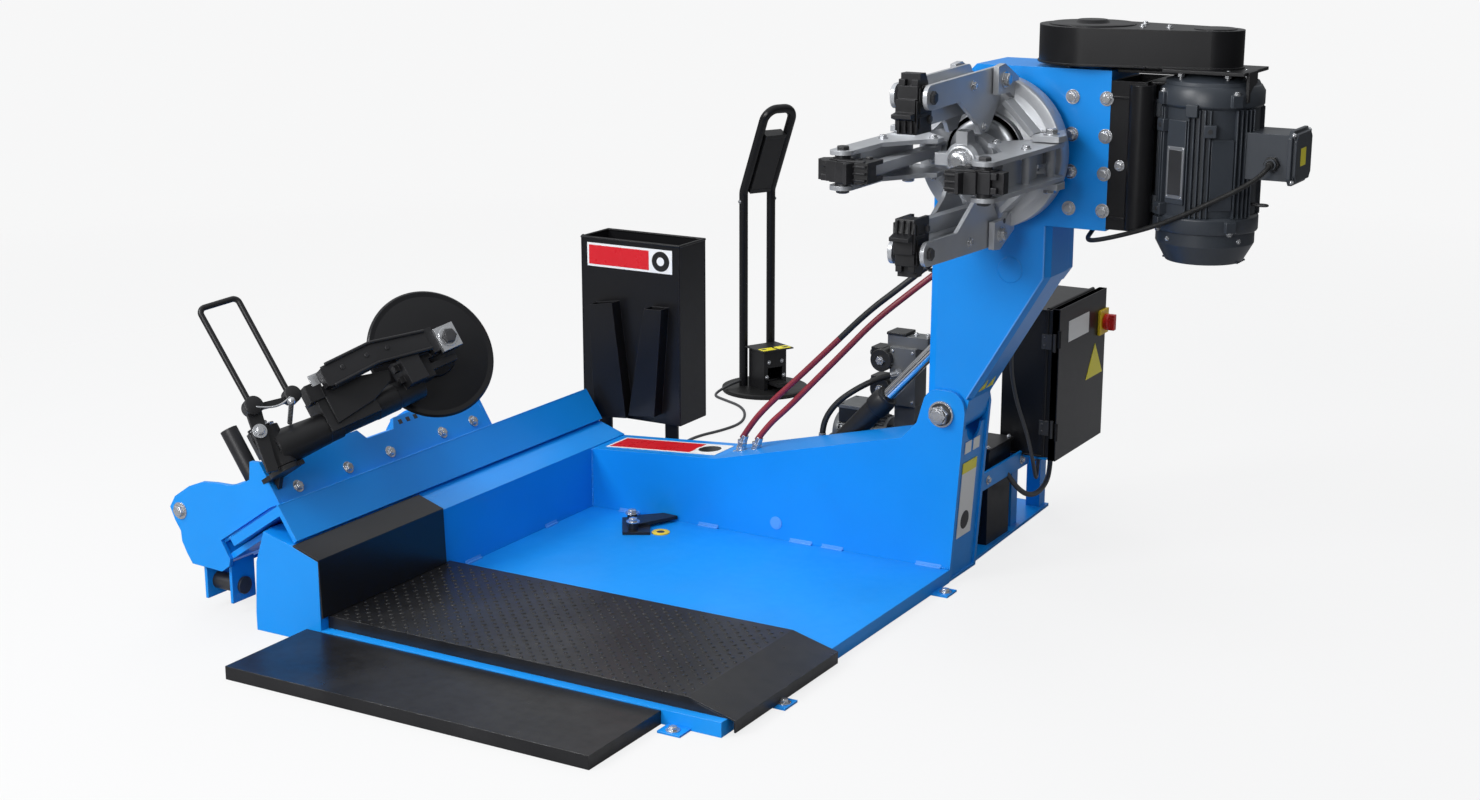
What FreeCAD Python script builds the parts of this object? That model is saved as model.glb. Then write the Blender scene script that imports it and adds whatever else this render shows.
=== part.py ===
"""Truck tyre changer: a low platform with a rail and tool carriage on its left, a hollow rear
wall that carries a tilting arm with a four-jaw chuck, a control cabinet, a tool box and a
free-standing foot console.  Millimetres.  The origin lies on the floor under the middle of the
wheel platform: +X runs along the ramp towards the arm, +Y away from the user, +Z up."""
import FreeCAD, Part
import math
import os
import Sketcher
from FreeCAD import Placement, Rotation, Vector

doc = FreeCAD.newDocument("tyre_changer")
sheet = doc.addObject("Spreadsheet::Sheet", "Sizes")

# ---------------------------------------------------------------- driving dimensions
DRIVING = [
    ("plate_half_width", 550, "platform, half of its width"),
    ("plate_half_depth", 560, "platform, half of its depth"),
    ("plate_top", 34, "height of the platform's top"),
    ("sheet_steel", 6, "thick sheet of the base"),
    ("thin_sheet", 3, "thin sheet of covers and boxes"),
    ("ramp_depth", 271, "front step, along Y"),
    ("ramp_height", 31, "front step, height"),
    ("tread_top", 64, "height of the tread plate's flat top"),
    ("tread_kink", 456, "where the tread plate starts to slope down"),
    ("tread_end", 572, "right end of the tread plate"),
    ("wall_front", 560, "front face of the rear wall"),
    ("wall_back", 722, "rear face of the rear wall"),
    ("wall_plate", 12, "thickness of the wall's two main plates"),
    ("rail_origin_x", -648, "corner of the guide rail"),
    ("rail_origin_z", 297, "corner of the guide rail"),
    ("rail_tilt", 33.5, "rise of the rail's bar from the floor, degrees"),
    ("rail_front", -545, "front end of the rail"),
    ("carriage_front", -520, "front face of the carriage"),
    ("carriage_length", 825, "carriage, along Y"),
    ("pivot_x", 519, "axis of the arm's pivot"),
    ("pivot_z", 432, "axis of the arm's pivot"),
    ("pivot_radius", 25, "radius of the arm's pivot pin"),
    ("arm_front", 575, "front face of the arm"),
    ("arm_depth", 132, "depth of the arm between the cheeks"),
    ("head_depth", 180, "depth of the arm's head"),
    ("head_right", 917, "right side of the arm's head"),
    ("head_top", 1290, "top of the arm's head"),
    ("head_bottom", 920, "bottom of the arm's head"),
    ("chuck_x", 652, "axis of the chuck"),
    ("chuck_z", 1094, "axis of the chuck"),
    ("chuck_radius", 178, "radius of the chuck's disc"),
    ("spindle_radius", 60, "radius of the chuck's spindle"),
    ("lug_radius", 178, "distance of a clamp arm's pivot from the chuck's axis"),
    ("lug_level", 440, "Y of a clamp arm's pivot"),
    ("jaw_radius", 170, "distance of a jaw's pivot from the chuck's axis"),
    ("jaw_level", 90, "Y of a jaw's pivot"),
    ("link_drop", 50, "radial distance from clamp arm pivot to link pivot"),
    ("link_lead", 30, "axial distance from clamp arm pivot to link pivot"),
    ("clamp_pin", 10, "bore radius of the clamp arms"),
    ("link_pin", 8, "bore radius of the links"),
    ("running", 0.05, "radial running clearance"),
    ("worm_x", 832, "axis of the worm shaft"),
    ("drive_y", 665, "Y of the worm, belt and motor"),
    ("motor_x", 1125, "axis of the motor"),
    ("motor_radius", 110, "radius of the motor's housing"),
    ("motor_bottom", 935, "lower end of the motor's housing"),
    ("motor_top", 1262, "upper end of the motor's housing"),
    ("guard_bottom", 1300, "lower edge of the belt guard"),
    ("guard_top", 1386, "top of the belt guard"),
    ("box_left", -703, "tool box, left side"),
    ("box_right", -382, "tool box, right side"),
    ("box_front", 797, "tool box, front face"),
    ("box_depth", 136, "tool box, depth"),
    ("box_bottom", 222, "tool box, bottom"),
    ("box_top", 729, "tool box, top"),
    ("cabinet_door_x", 640, "outer face of the cabinet's door"),
    ("cabinet_left", 480, "cabinet, left side"),
    ("cabinet_front", 1022, "cabinet, front side"),
    ("cabinet_back", 1342, "cabinet, rear side"),
    ("cabinet_bottom", 220, "cabinet, bottom"),
    ("cabinet_top", 616, "cabinet, top"),
    ("console_x", -815, "middle of the foot console"),
    ("console_y", 2040, "middle of the foot console"),
    ("console_turn", 64, "turn of the foot console about the vertical, degrees"),
    ("console_radius", 143, "radius of the foot console's base"),
    ("console_tube", 14.5, "radius of the console's tube"),
    ("disc_radius", 161, "radius of the bead disc"),
]
sheet.set("A1", "Size")
sheet.set("B1", "Value")
for row, (alias, value, meaning) in enumerate(DRIVING, start=2):
    sheet.set(f"A{row}", meaning)
    sheet.set(f"B{row}", str(value))
    sheet.setAlias(f"B{row}", alias)
doc.recompute()


class Size:
    """A length with its number and the sheet expression that gives it."""

    def __init__(self, value, text):
        self.value = float(value)
        self.text = text

    def __add__(self, other):
        other = as_size(other)
        return Size(self.value + other.value, f"({self.text} + {other.text})")

    def __sub__(self, other):
        other = as_size(other)
        return Size(self.value - other.value, f"({self.text} - {other.text})")

    def __mul__(self, other):
        other = as_size(other)
        return Size(self.value * other.value, f"({self.text} * {other.text})")

    def __radd__(self, other):
        return as_size(other) + self

    def __rsub__(self, other):
        return as_size(other) - self

    def __rmul__(self, other):
        return as_size(other) * self

    def __neg__(self):
        return Size(-self.value, f"(0 - {self.text})")


def as_size(number):
    """A plain number as a Size; a Size stays what it is."""
    if isinstance(number, Size):
        return number
    return Size(number, f"({float(number)})")


class Dimensions:
    """Reads the sheet: D.plate_top is the Size of the cell with that alias."""

    def __getattr__(self, alias):
        return Size(sheet.get(alias), f"Sizes.{alias}")


D = Dimensions()
parts = {}


# ---------------------------------------------------------------- helpers
def bind(obj, name, size):
    """Binds one property to the sheet, or sets it where the size is a plain number."""
    size = as_size(size)
    if "Sizes." in size.text:
        obj.setExpression(name, size.text)
    else:
        setattr(obj, name, size.value)


def place(obj, base=(0, 0, 0), rotation=None):
    """Puts an object at base, turned by rotation; the base follows the sheet."""
    sizes = [as_size(value) for value in base]
    obj.Placement = Placement(Vector(*[size.value for size in sizes]), rotation or Rotation())
    for axis, size in zip("xyz", sizes):
        if "Sizes." in size.text:
            obj.setExpression(f".Placement.Base.{axis}", size.text)
    return obj


def box(low, high, rotation=None):
    """A block between two corners."""
    block = doc.addObject("Part::Box", "Block")
    for name, start, end in zip(("Length", "Width", "Height"), low, high):
        bind(block, name, as_size(end) - start)
    return place(block, low, rotation)


AXIS_TURN = {
    "x": Rotation(Vector(0, 1, 0), 90),
    "y": Rotation(Vector(1, 0, 0), -90),
    "z": Rotation(),
}


def rod(start, axis, radius, length):
    """A round bar that starts at a point and runs along +x, +y or +z."""
    bar = doc.addObject("Part::Cylinder", "Bar")
    bind(bar, "Radius", radius)
    bind(bar, "Height", length)
    return place(bar, start, AXIS_TURN[axis])


def taper(start, axis, radius_start, radius_end, length):
    """A round taper along +x, +y or +z."""
    cone = doc.addObject("Part::Cone", "Taper")
    bind(cone, "Radius1", radius_start)
    bind(cone, "Radius2", radius_end)
    bind(cone, "Height", length)
    return place(cone, start, AXIS_TURN[axis])


def fuse(pieces):
    """One object from several solids."""
    joined = doc.addObject("Part::MultiFuse", "Joined")
    joined.Shapes = pieces
    return joined


def cut(base, tools):
    """Base less the tools."""
    rest = doc.addObject("Part::Cut", "Rest")
    rest.Base = base
    rest.Tool = tools[0] if len(tools) == 1 else fuse(tools)
    return rest


PLANES = {"XY": "XY_Plane", "XZ": "XZ_Plane", "YZ": "YZ_Plane"}


def draw(body, plane, outline, circles=()):
    """A fully dimensioned sketch: a closed outline of straight sides and round holes."""
    sketch = body.newObject("Sketcher::SketchObject", "Outline")
    origin = [one for one in body.Origin.OriginFeatures if one.Role == PLANES[plane]][0]
    sketch.AttachmentSupport = (origin, [""])
    sketch.MapMode = "FlatFace"
    corners = [(as_size(u), as_size(v)) for u, v in outline]
    points = [Vector(u.value, v.value, 0) for u, v in corners]
    count = len(points)
    for index in range(count):
        side = Part.LineSegment(points[index], points[(index + 1) % count])
        sketch.addGeometry(side, False)
    for index in range(count):
        following = (index + 1) % count
        sketch.addConstraint(Sketcher.Constraint("Coincident", index, 2, following, 1))
    for index, corner in enumerate(corners):
        for kind, size in zip(("DistanceX", "DistanceY"), corner):
            dimension(sketch, Sketcher.Constraint(kind, -1, 1, index, 1, size.value), size)
    for u, v, radius in circles:
        u, v, radius = as_size(u), as_size(v), as_size(radius)
        ring = Part.Circle(Vector(u.value, v.value, 0), Vector(0, 0, 1), radius.value)
        index = sketch.addGeometry(ring, False)
        dimension(sketch, Sketcher.Constraint("Radius", index, radius.value), radius)
        dimension(sketch, Sketcher.Constraint("DistanceX", -1, 1, index, 3, u.value), u)
        dimension(sketch, Sketcher.Constraint("DistanceY", -1, 1, index, 3, v.value), v)
    return sketch


def dimension(sketch, constraint, size):
    """Adds a dimension to a sketch and binds it to the sheet."""
    number = sketch.addConstraint(constraint)
    if "Sizes." in size.text:
        sketch.setExpression(f"Constraints[{number}]", size.text)


def plate(plane, level, thickness, outline, circles=(), rounds=(), base=(0, 0, 0), rotation=None):
    """A flat plate: an outline on a plane, padded from level by thickness along the plane's
    positive axis.  rounds lists (corner number, radius) for rounded corners."""
    body = doc.addObject("PartDesign::Body", "Plate")
    sketch = draw(body, plane, outline, circles)
    pad = body.newObject("PartDesign::Pad", "Pad")
    pad.Profile = sketch
    bind(pad, "Length", thickness)
    pad.Reversed = plane == "XZ"
    shift = {"XY": (0, 0, 1), "XZ": (0, 1, 0), "YZ": (1, 0, 0)}[plane]
    if rounds:
        doc.recompute()
        for radius in sorted({value for _, value in rounds}):
            corners = [outline[number] for number, value in rounds if value == radius]
            round_corners(body, plane, corners, radius)
    if rotation is None:
        offset = [as_size(start) + as_size(level) * axis for start, axis in zip(base, shift)]
        return place(body, offset)
    turned = rotation.multVec(Vector(*shift))
    offset = [as_size(start) + as_size(level) * part for start, part in zip(base, turned)]
    return place(body, offset, rotation)


def round_corners(body, plane, corners, radius):
    """Rounds the plate's edges that stand on the given corners of its outline."""
    names = []
    solid = body.Tip
    spots = [(as_size(u).value, as_size(v).value) for u, v in corners]
    for number, edge in enumerate(solid.Shape.Edges, start=1):
        ends = [edge.Vertexes[0].Point, edge.Vertexes[-1].Point]
        flat = [{"XY": (p.x, p.y), "XZ": (p.x, p.z), "YZ": (p.y, p.z)}[plane] for p in ends]
        for spot in spots:
            if all(math.dist(one, spot) < 1e-3 for one in flat):
                names.append(f"Edge{number}")
    fillet = body.newObject("PartDesign::Fillet", "Rounds")
    fillet.Base = (solid, names)
    fillet.Radius = radius
    body.Tip = fillet
    doc.recompute()


def turned(outline, start, axis):
    """A turned piece: an outline of (radius, distance along the axis) revolved about the axis
    that runs from start along +x, +y or +z."""
    body = doc.addObject("PartDesign::Body", "Turned")
    sketch = draw(body, "XZ", outline)
    spin = body.newObject("PartDesign::Revolution", "Spin")
    spin.Profile = sketch
    spin.ReferenceAxis = (sketch, ["V_Axis"])
    spin.Angle = 360
    return place(body, start, AXIS_TURN[axis])


def route_wire(points, radii=None):
    """Straight runs joined by tangent arcs.  An arc's radius is 0.45 of its shorter run over
    the tangent of half the turn, unless radii gives one radius for all corners."""
    points = [Vector(*point) for point in points]
    edges = []
    tightest = None
    last = points[0]
    for before, corner, after in zip(points, points[1:], points[2:]):
        incoming = (corner - before).normalize()
        outgoing = (after - corner).normalize()
        turn = incoming.getAngle(outgoing)
        shorter = min((corner - before).Length, (after - corner).Length)
        radius = 0.45 * shorter / math.tan(turn / 2) if radii is None else radii
        reach = radius * math.tan(turn / 2)
        start = corner - incoming * reach
        end = corner + outgoing * reach
        inward = (outgoing - incoming).normalize()
        middle = corner + inward * (radius / math.cos(turn / 2) - radius)
        edges.append(Part.LineSegment(last, start).toShape())
        edges.append(Part.Arc(start, middle, end).toShape())
        last = end
        tightest = radius if tightest is None else min(tightest, radius)
    edges.append(Part.LineSegment(last, points[-1]).toShape())
    return Part.Wire(edges), tightest


def bent_rod(points, radius, bend=None):
    """A round bar along straight runs and tangent arcs, as a plain shape."""
    wire, tightest = route_wire(points, bend)
    first = wire.Edges[0]
    direction = first.tangentAt(first.FirstParameter)
    ring = Part.Wire([Part.Circle(Vector(*points[0]), direction, radius).toShape()])
    solid = wire.makePipeShell([ring], True, False)
    expected = math.pi * radius ** 2 * wire.Length
    if abs(solid.Volume - expected) > 0.02 * expected:
        raise ValueError(f"a bent rod's volume is {solid.Volume:.0f}, not {expected:.0f}")
    return solid, wire.Length, tightest


def shape_object(shape, base=(0, 0, 0), rotation=None):
    """A document object that holds a shape made with Part's own functions."""
    holder = doc.addObject("Part::Feature", "Shape")
    holder.Shape = shape
    return place(holder, base, rotation)


def sub_part(name, obj):
    """Names a finished piece of the machine."""
    obj.Label = name
    parts[name] = obj


# ---------------------------------------------------------------- platform and ramp
def platform():
    top = D.plate_top
    left = -D.plate_half_width + 31
    right = D.plate_half_width + 2
    depth = D.plate_half_depth
    under = top - D.sheet_steel
    pieces = [box((left, -depth, under), (right, depth, top))]
    rib = 30
    for share in range(5):
        start = left + (right - left - rib) * (share / 4)
        pieces.append(box((start, -depth, 0), (start + rib, depth, under)))
    for start in (-depth, -rib / 2, depth - rib):
        pieces.append(box((left, start, 0), (right, as_size(start) + rib, under)))
    sub_part("platform_plate", fuse(pieces))


def tread_plate():
    top = D.tread_top
    skin = 4
    left = -D.plate_half_width + 33
    profile = [
        (left, top), (D.tread_kink, top), (D.tread_end, 33.5), (D.tread_end, 6),
        (D.tread_end - skin, 6), (D.tread_end - skin, 31), (D.tread_kink, top - skin),
        (left, top - skin),
    ]
    front = -536
    back = -79
    pieces = [plate("XZ", front, back - front, profile)]
    for start in (front, back - skin):
        web = [
            (left, D.plate_top), (552, D.plate_top), (D.tread_kink, top - skin), (left, top - skin),
        ]
        pieces.append(plate("XZ", start, skin, web))
    for start in (left, -D.tread_kink * 0.5, -20, D.tread_kink * 0.5):
        pieces.append(box((start, front, D.plate_top), (start + 30, back, top - skin)))
    sub_part("tread_plate", fuse(pieces))


def front_ramp():
    front = -D.plate_half_depth - D.ramp_depth
    back = -D.plate_half_depth - 1
    height = D.ramp_height
    skin = 4
    outer = box((-562, front, 0), (405, back, height))
    inner = [
        box((start, front + skin, -1), (start + 232, back - skin, height - skin))
        for start in (-558, -318, -78, 162)
    ]
    sub_part("front_ramp", cut(outer, inner))


def anchor_brackets():
    """Four angle tabs that bolt the base to the floor."""
    pieces = []
    spots = [
        ((D.plate_half_width + 2, 480), (1, 0)),
        ((D.plate_half_width + 2, -340), (1, 0)),
        ((450, -D.plate_half_depth), (0, -1)),
        ((-716, -480), (-1, 0)),
    ]
    width = 56
    reach = 44
    for (x, y), (side, front) in spots:
        if side > 0:
            foot = box((x, as_size(y) - width / 2, 0), (x + reach, as_size(y) + width / 2, 5))
            hole = rod((x + reach - 18, y, -1), "z", 8, 10)
        elif side < 0:
            foot = box((x - reach, y - width / 2, 0), (x, y + width / 2, 5))
            hole = rod((x - reach + 18, y, -1), "z", 8, 10)
        else:
            foot = box((x - width / 2, as_size(y) - reach, 0), (x + width / 2, y, 5))
            hole = rod((x, as_size(y) - reach + 18, -1), "z", 8, 10)
        pieces.append(cut(foot, [hole]))
    sub_part("anchor_brackets", fuse(pieces))


def wheel_stop():
    """A hooked stop plate bolted to the platform."""
    lift = D.plate_top
    base = plate("XY", lift, 8, [(-379, 492), (-308, 384), (-245, 421), (-324, 545)])
    tongue = plate("XY", lift + 8, 9, [(-345, 500), (-300, 430), (-243, 554), (-290, 558)])
    heads = [rod((x, y, lift + 8), "z", 13, 22) for x, y in ((-338, 478), (-296, 418))]
    sub_part("wheel_stop", fuse([base, tongue] + heads))


# ---------------------------------------------------------------- left beam and its cover
def side_beam():
    front = -D.plate_half_depth
    length = D.wall_back + D.plate_half_depth
    outline = [
        (-716, 0), (-519.5, 0), (-519.5, 200), (-608, 229), (-680, 248), (-707, 170), (-716, 45),
    ]
    outer = plate("XZ", front, length, outline)
    skin = D.sheet_steel
    hollow = [
        (-708, 8), (-527, 8), (-527, 193), (-611, 220), (-675, 237), (-699, 168), (-708, 45),
    ]
    inner = plate("XZ", front + skin, length - skin * 2, hollow)
    sub_part("side_beam", cut(outer, [inner]))


def beam_cover():
    """Black folded sheet over the beam's inner edge, down to the tread plate."""
    front = -D.plate_half_depth
    outline = [
        (-592, 225), (-591, 229.5), (-516, 205), (-511, 65), (-515, 65), (-518.6, 201),
    ]
    sub_part("beam_cover", plate("XZ", front - 1, 462, outline))


def tilt():
    """Turn of the inclined frame: x along the bar, z square to it."""
    return Rotation(Vector(0, 1, 0), -D.rail_tilt.value)


def inclined(plane, level, thickness, outline, circles=(), rounds=()):
    """A plate drawn in the rail's inclined frame."""
    base = (D.rail_origin_x, 0, D.rail_origin_z)
    return plate(plane, level, thickness, outline, circles, rounds, base, tilt())


def guide_rail():
    outline = [(-176, 10), (12, 10), (12, -83), (0, -83), (0, -12), (-176, -12)]
    length = D.wall_back - D.rail_front
    sub_part("guide_rail", inclined("XZ", D.rail_front, length, outline))


# ---------------------------------------------------------------- rear wall
LIFT_Y = 756
LIFT_FOOT = (38, 147)
LIFT_TOP = (500, 646)


def wall_outline():
    return [
        (-519, 0), (550, 0), (581, 440), (572, 492), (478, 492), (452, 402), (411, 357),
        (-127, 225), (-519, 197),
    ]


def rear_wall():
    front = D.wall_front + 0.5
    depth = D.wall_back - D.wall_front - 0.5
    outer = plate("XZ", front, depth, wall_outline(), rounds=((3, 42), (4, 42)))
    hollow = [
        (-511, 8), (640, 8), (640, 540), (440, 540), (440, 378), (405, 346), (-127, 215),
        (-511, 187),
    ]
    room = plate("XZ", front + D.wall_plate, depth - D.wall_plate * 2, hollow)
    bore = rod((D.pivot_x, D.wall_front - 5, D.pivot_z), "y", D.pivot_radius + 0.02, 180)
    shell = cut(outer, [room, bore])
    foot_x, foot_z = LIFT_FOOT
    lift_pin = rod((foot_x, D.wall_back - 6, foot_z), "y", 14, LIFT_Y + 36 - D.wall_back)
    sub_part("rear_wall", fuse([shell, side_plate(), lift_pin]))


def side_plate():
    """Recessed plate, with a round notch, that closes the wall's right end below the pivot."""
    front = D.wall_front + D.wall_plate
    depth = D.wall_back - D.wall_front - D.wall_plate * 2 + 0.5
    outline = [(538, 6), (545, 6), (572, 392), (565, 392)]
    panel = plate("XZ", front, depth, outline)
    notch = rod((500, 641, 400), "x", 46, 100)
    return cut(panel, [notch])


def arm_pivot_pin():
    """Through bolt of the arm: a pin, a washer and a hexagon head in front, a nut behind."""
    front = D.wall_front + 0.5
    radius = D.pivot_radius
    pin = rod((D.pivot_x, front, D.pivot_z), "y", radius, D.wall_back - front)
    washer = rod((D.pivot_x, front - 6, D.pivot_z), "y", 33, 6)
    head = hexagon("XZ", front - 24, 18, 25)
    nut = hexagon("XZ", D.wall_back, 22, 32)
    sub_part("arm_pivot_pin", fuse([pin, washer, head, nut]))


def hexagon(plane, level, thickness, radius):
    """A hexagon about the arm's pivot axis."""
    outline = [
        (radius * math.cos(math.radians(angle)), radius * math.sin(math.radians(angle)))
        for angle in range(15, 375, 60)
    ]
    return plate(plane, level, thickness, outline, base=(D.pivot_x, 0, D.pivot_z))


# ---------------------------------------------------------------- rear base, hydraulics, cabinet
def rear_base_plate():
    """Floor plate behind the wall with the cabinet's stand."""
    floor = plate("XY", 0, 8, [(-250, 722.3), (540, 722.3), (518, 1290), (60, 1290), (-250, 1000)])
    shelf_low = D.cabinet_bottom - 10
    post_front = box((470, 1040, 8), (510, 1080, shelf_low))
    post_back = box((470, 1240, 8), (510, 1280, shelf_low))
    shelf = box((470, 1030, shelf_low), (D.cabinet_door_x - 30, 1290, D.cabinet_bottom))
    sub_part("rear_base_plate", fuse([floor, post_front, post_back, shelf]))


def oil_tank():
    """Black steel tank with a lid, a filler cap and an oil glass, on the rear base plate."""
    tank = box((330, 857, 8), (520, 1000, 262))
    lid = box((324, 851, 262), (526, 1006, 270))
    filler = rod((356, 972, 270), "z", 20, 30)
    glass = rod((488, 851, 120), "y", 12, 6)
    sub_part("oil_tank", fuse([tank, lid, filler, glass]))


def valve_block():
    """Pump motor on a foot, and the manifold with its two solenoid valves on a post."""
    foot = box((82, 868, 8), (196, 952, 20))
    stem = box((110, 880, 20), (170, 940, 200))
    motor = rod((66, 910, 250), "x", 52, 150)
    neck = box((104, 884, 190), (176, 936, 260))
    switch_box = box((84, 862, 286), (178, 956, 330))
    coupling = rod((215, 910, 250), "x", 30, 40)
    post = box((232, 886, 8), (292, 934, 360))
    block = box((226, 866, 350), (300, 936, 506))
    crown = box((214, 876, 506), (330, 930, 536))
    pieces = [foot, stem, motor, neck, switch_box, coupling, post, block, crown]
    for level in (392, 470):
        pieces.append(rod((196, 892, level), "x", 15, 32))
        pieces.append(rod((206, 852, level), "y", 29, 60))
        pieces.append(box((176, 866, level - 6), (206, 912, level + 28)))
    sub_part("valve_block", fuse(pieces))


def cabinet():
    low = (D.cabinet_left, D.cabinet_front, D.cabinet_bottom)
    high = (D.cabinet_door_x - 22, D.cabinet_back, D.cabinet_top)
    outer = box(low, high)
    skin = D.thin_sheet
    room_low = [as_size(value) + skin for value in low]
    room_high = (D.cabinet_door_x, D.cabinet_back - skin, D.cabinet_top - skin)
    shell = cut(outer, [box(room_low, room_high)])
    rail_face = D.cabinet_left + 16
    rail = box((D.cabinet_left + skin, 1060, 430), (rail_face, 1300, 465))
    gear = [
        box((rail_face, start, 405), (rail_face + 70, start + 52, 490))
        for start in (1070, 1132, 1194)
    ]
    sub_part("cabinet_body", fuse([shell, rail] + gear))
    face = D.cabinet_door_x
    skin = 2
    edge = 6
    door = box((face - 21, D.cabinet_front - edge, D.cabinet_bottom - edge),
               (face, D.cabinet_back + edge, D.cabinet_top + edge))
    pan = box((face - 30, D.cabinet_front - edge + skin, D.cabinet_bottom - edge + skin),
              (face - skin, D.cabinet_back + edge - skin, D.cabinet_top + edge - skin))
    switch_hole = rod((face - 10, 1322, 534), "x", 8.05, 20)
    barrels = [rod((face, D.cabinet_front - edge, level), "z", 5, 46) for level in (270, 520)]
    sub_part("cabinet_door", fuse([cut(door, [pan, switch_hole])] + barrels))
    knob = rod((face + 8, 1322, 534), "x", 21, 14)
    grip = box((face + 22, 1313, 513), (face + 38, 1331, 555))
    shaft = rod((face - 12, 1322, 534), "x", 8, 20)
    sub_part("main_switch", fuse([knob, grip, shaft]))


# ---------------------------------------------------------------- tool box
def tool_box():
    """Open-topped box with two slanted open pockets on its front."""
    low = (D.box_left, D.box_front, D.box_bottom)
    high = (D.box_right, D.box_front + D.box_depth, D.box_top)
    skin = D.thin_sheet
    room = box([as_size(value) + skin for value in low],
               (D.box_right - skin, D.box_front + D.box_depth - skin, D.box_top + 10))
    shell = cut(box(low, high), [room])
    pieces = [shell]
    pocket_depth = 40
    pockets = [
        ([(-656, 546), (-578, 558), (-537, 234), (-641, 226)],
         [(-652, 560), (-582, 572), (-541, 240), (-637, 232)]),
        ([(-473, 553), (-417, 555), (-443, 250), (-528, 243)],
         [(-469, 567), (-421, 569), (-447, 256), (-523, 249)]),
    ]
    for outline, hollow in pockets:
        skin_block = plate("XZ", D.box_front - pocket_depth, pocket_depth, outline)
        room = plate("XZ", D.box_front - pocket_depth + skin, pocket_depth - skin * 2, hollow)
        pieces.append(cut(skin_block, [room]))
    for start in (-660, -440):
        pieces.append(box((start, D.wall_back, 150), (start + 40, D.box_front + 20, 158)))
        pieces.append(box((start, D.box_front + 12, 150), (start + 40, D.box_front + 20, 240)))
    near = D.box_front + 20
    far = D.box_front + 40
    hook = box((D.box_left - 14, near, D.box_top - 40), (D.box_left, far, D.box_top - 30))
    tip = box((D.box_left - 14, near, D.box_top - 30), (D.box_left - 8, far, D.box_top - 8))
    sub_part("tool_box", fuse(pieces + [hook, tip]))


# ---------------------------------------------------------------- foot console
def console_turn():
    return Rotation(Vector(0, 0, 1), D.console_turn.value)


def console_box(low, high):
    """A block given in the console's own turned frame."""
    block = box((0, 0, 0), [as_size(end) - start for start, end in zip(low, high)])
    corner = console_turn().multVec(Vector(*[as_size(value).value for value in low]))
    return place(block, (D.console_x + corner.x, D.console_y + corner.y, corner.z), console_turn())


def console_point(x, y, z):
    """A point of the console's own frame, in the machine's frame."""
    spot = console_turn().multVec(Vector(x, y, z))
    return Vector(spot.x + D.console_x.value, spot.y + D.console_y.value, spot.z)


def console():
    disc = rod((D.console_x, D.console_y, 0), "z", D.console_radius, 8)
    rim = doc.addObject("Part::Torus", "Rim")
    rim.Radius1 = D.console_radius.value - 6
    rim.Radius2 = 6
    place(rim, (D.console_x, D.console_y, 8))
    stand = cut(console_box((-45, -60, 8), (45, 30, 150)),
                [console_box((-42, -50, 8.5), (42, 27, 140)),
                 console_box((-30, -70, 8.5), (30, -45, 90))])
    cap = console_box((-62, -78, 150), (62, 30, 154))
    sub_part("pedestal_base", fuse([disc, rim, stand, cap]))
    half = 55
    rise = 672
    lean = math.tan(math.radians(25))
    top = 956
    back = -(top - rise) * lean
    route = [
        (-half, 48, 8), (-half, 48, rise), (-half, 48 + back, top),
        (half, 48 + back, top), (half, 48, rise), (half, 48, 8),
    ]
    loop, _, _ = bent_rod(route, D.console_tube.value, 42)
    place_base = (D.console_x, D.console_y, 0)
    sub_part("pedestal_frame", shape_object(loop, place_base, console_turn()))
    control_panel(rise, lean)


def panel_frame(rise, lean):
    """Placement of the control panel's frame: z runs up the leaning tubes."""
    turn = console_turn().multiply(Rotation(Vector(1, 0, 0), 25))
    base = console_point(0, 48, rise)
    return base, turn


def control_panel(rise, lean):
    base, turn = panel_frame(rise, lean)
    panel = box((0, 0, 0), (78, 34, 218))
    corner = base + turn.multVec(Vector(-39, -17, 4))
    place(panel, tuple(corner), turn)
    sub_part("control_panel", panel)
    for name, across, up in (("joystick_left", 0, 168), ("joystick_right", 0, 84)):
        stem = doc.addObject("Part::Cylinder", "Stem")
        stem.Radius = 6
        stem.Height = 22
        ball = doc.addObject("Part::Sphere", "Knob")
        ball.Radius = 17
        turn_out = turn.multiply(Rotation(Vector(1, 0, 0), -90))
        foot = base + turn.multVec(Vector(across, 26, up))
        place(stem, tuple(foot), turn_out)
        centre = base + turn.multVec(Vector(across, 17.4 + 34, up))
        place(ball, tuple(centre), turn_out)
        pivot = rod((0, 0, 0), "x", 8, 20)
        pivot_end = base + turn.multVec(Vector(across - 10, 26, up))
        place(pivot, tuple(pivot_end), turn.multiply(AXIS_TURN["x"]))
        sub_part(name, fuse([stem, ball, pivot]))
    foot_pedal()


def foot_pedal():
    """Pedal that passes under the stand's front edge, with a cross bar inside the stand."""
    pedal = console_box((-26, -118, 34), (26, -36, 42))
    hinge_bar = rod((0, 0, 0), "x", 7, 70)
    start = console_point(-35, -36, 40)
    place(hinge_bar, tuple(start), console_turn().multiply(AXIS_TURN["x"]))
    sub_part("foot_pedal", fuse([pedal, hinge_bar]))


# ---------------------------------------------------------------- swinging arm
def arm_bevel(corner, length, lean, width, depth):
    """Wedge that folds back a front edge of the column, from a corner up along its lean."""
    front = D.arm_front
    side = 1 if width > 0 else -1
    reach = depth * (abs(width) + 1) / abs(width)
    wedge = [(-width, front - 1), (side, front - 1), (side, front + reach), (-width, front)]
    turn = Rotation(Vector(0, 1, 0), lean)
    return plate("XY", 0, length, wedge, base=(corner[0], 0, corner[1]), rotation=turn)


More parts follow.
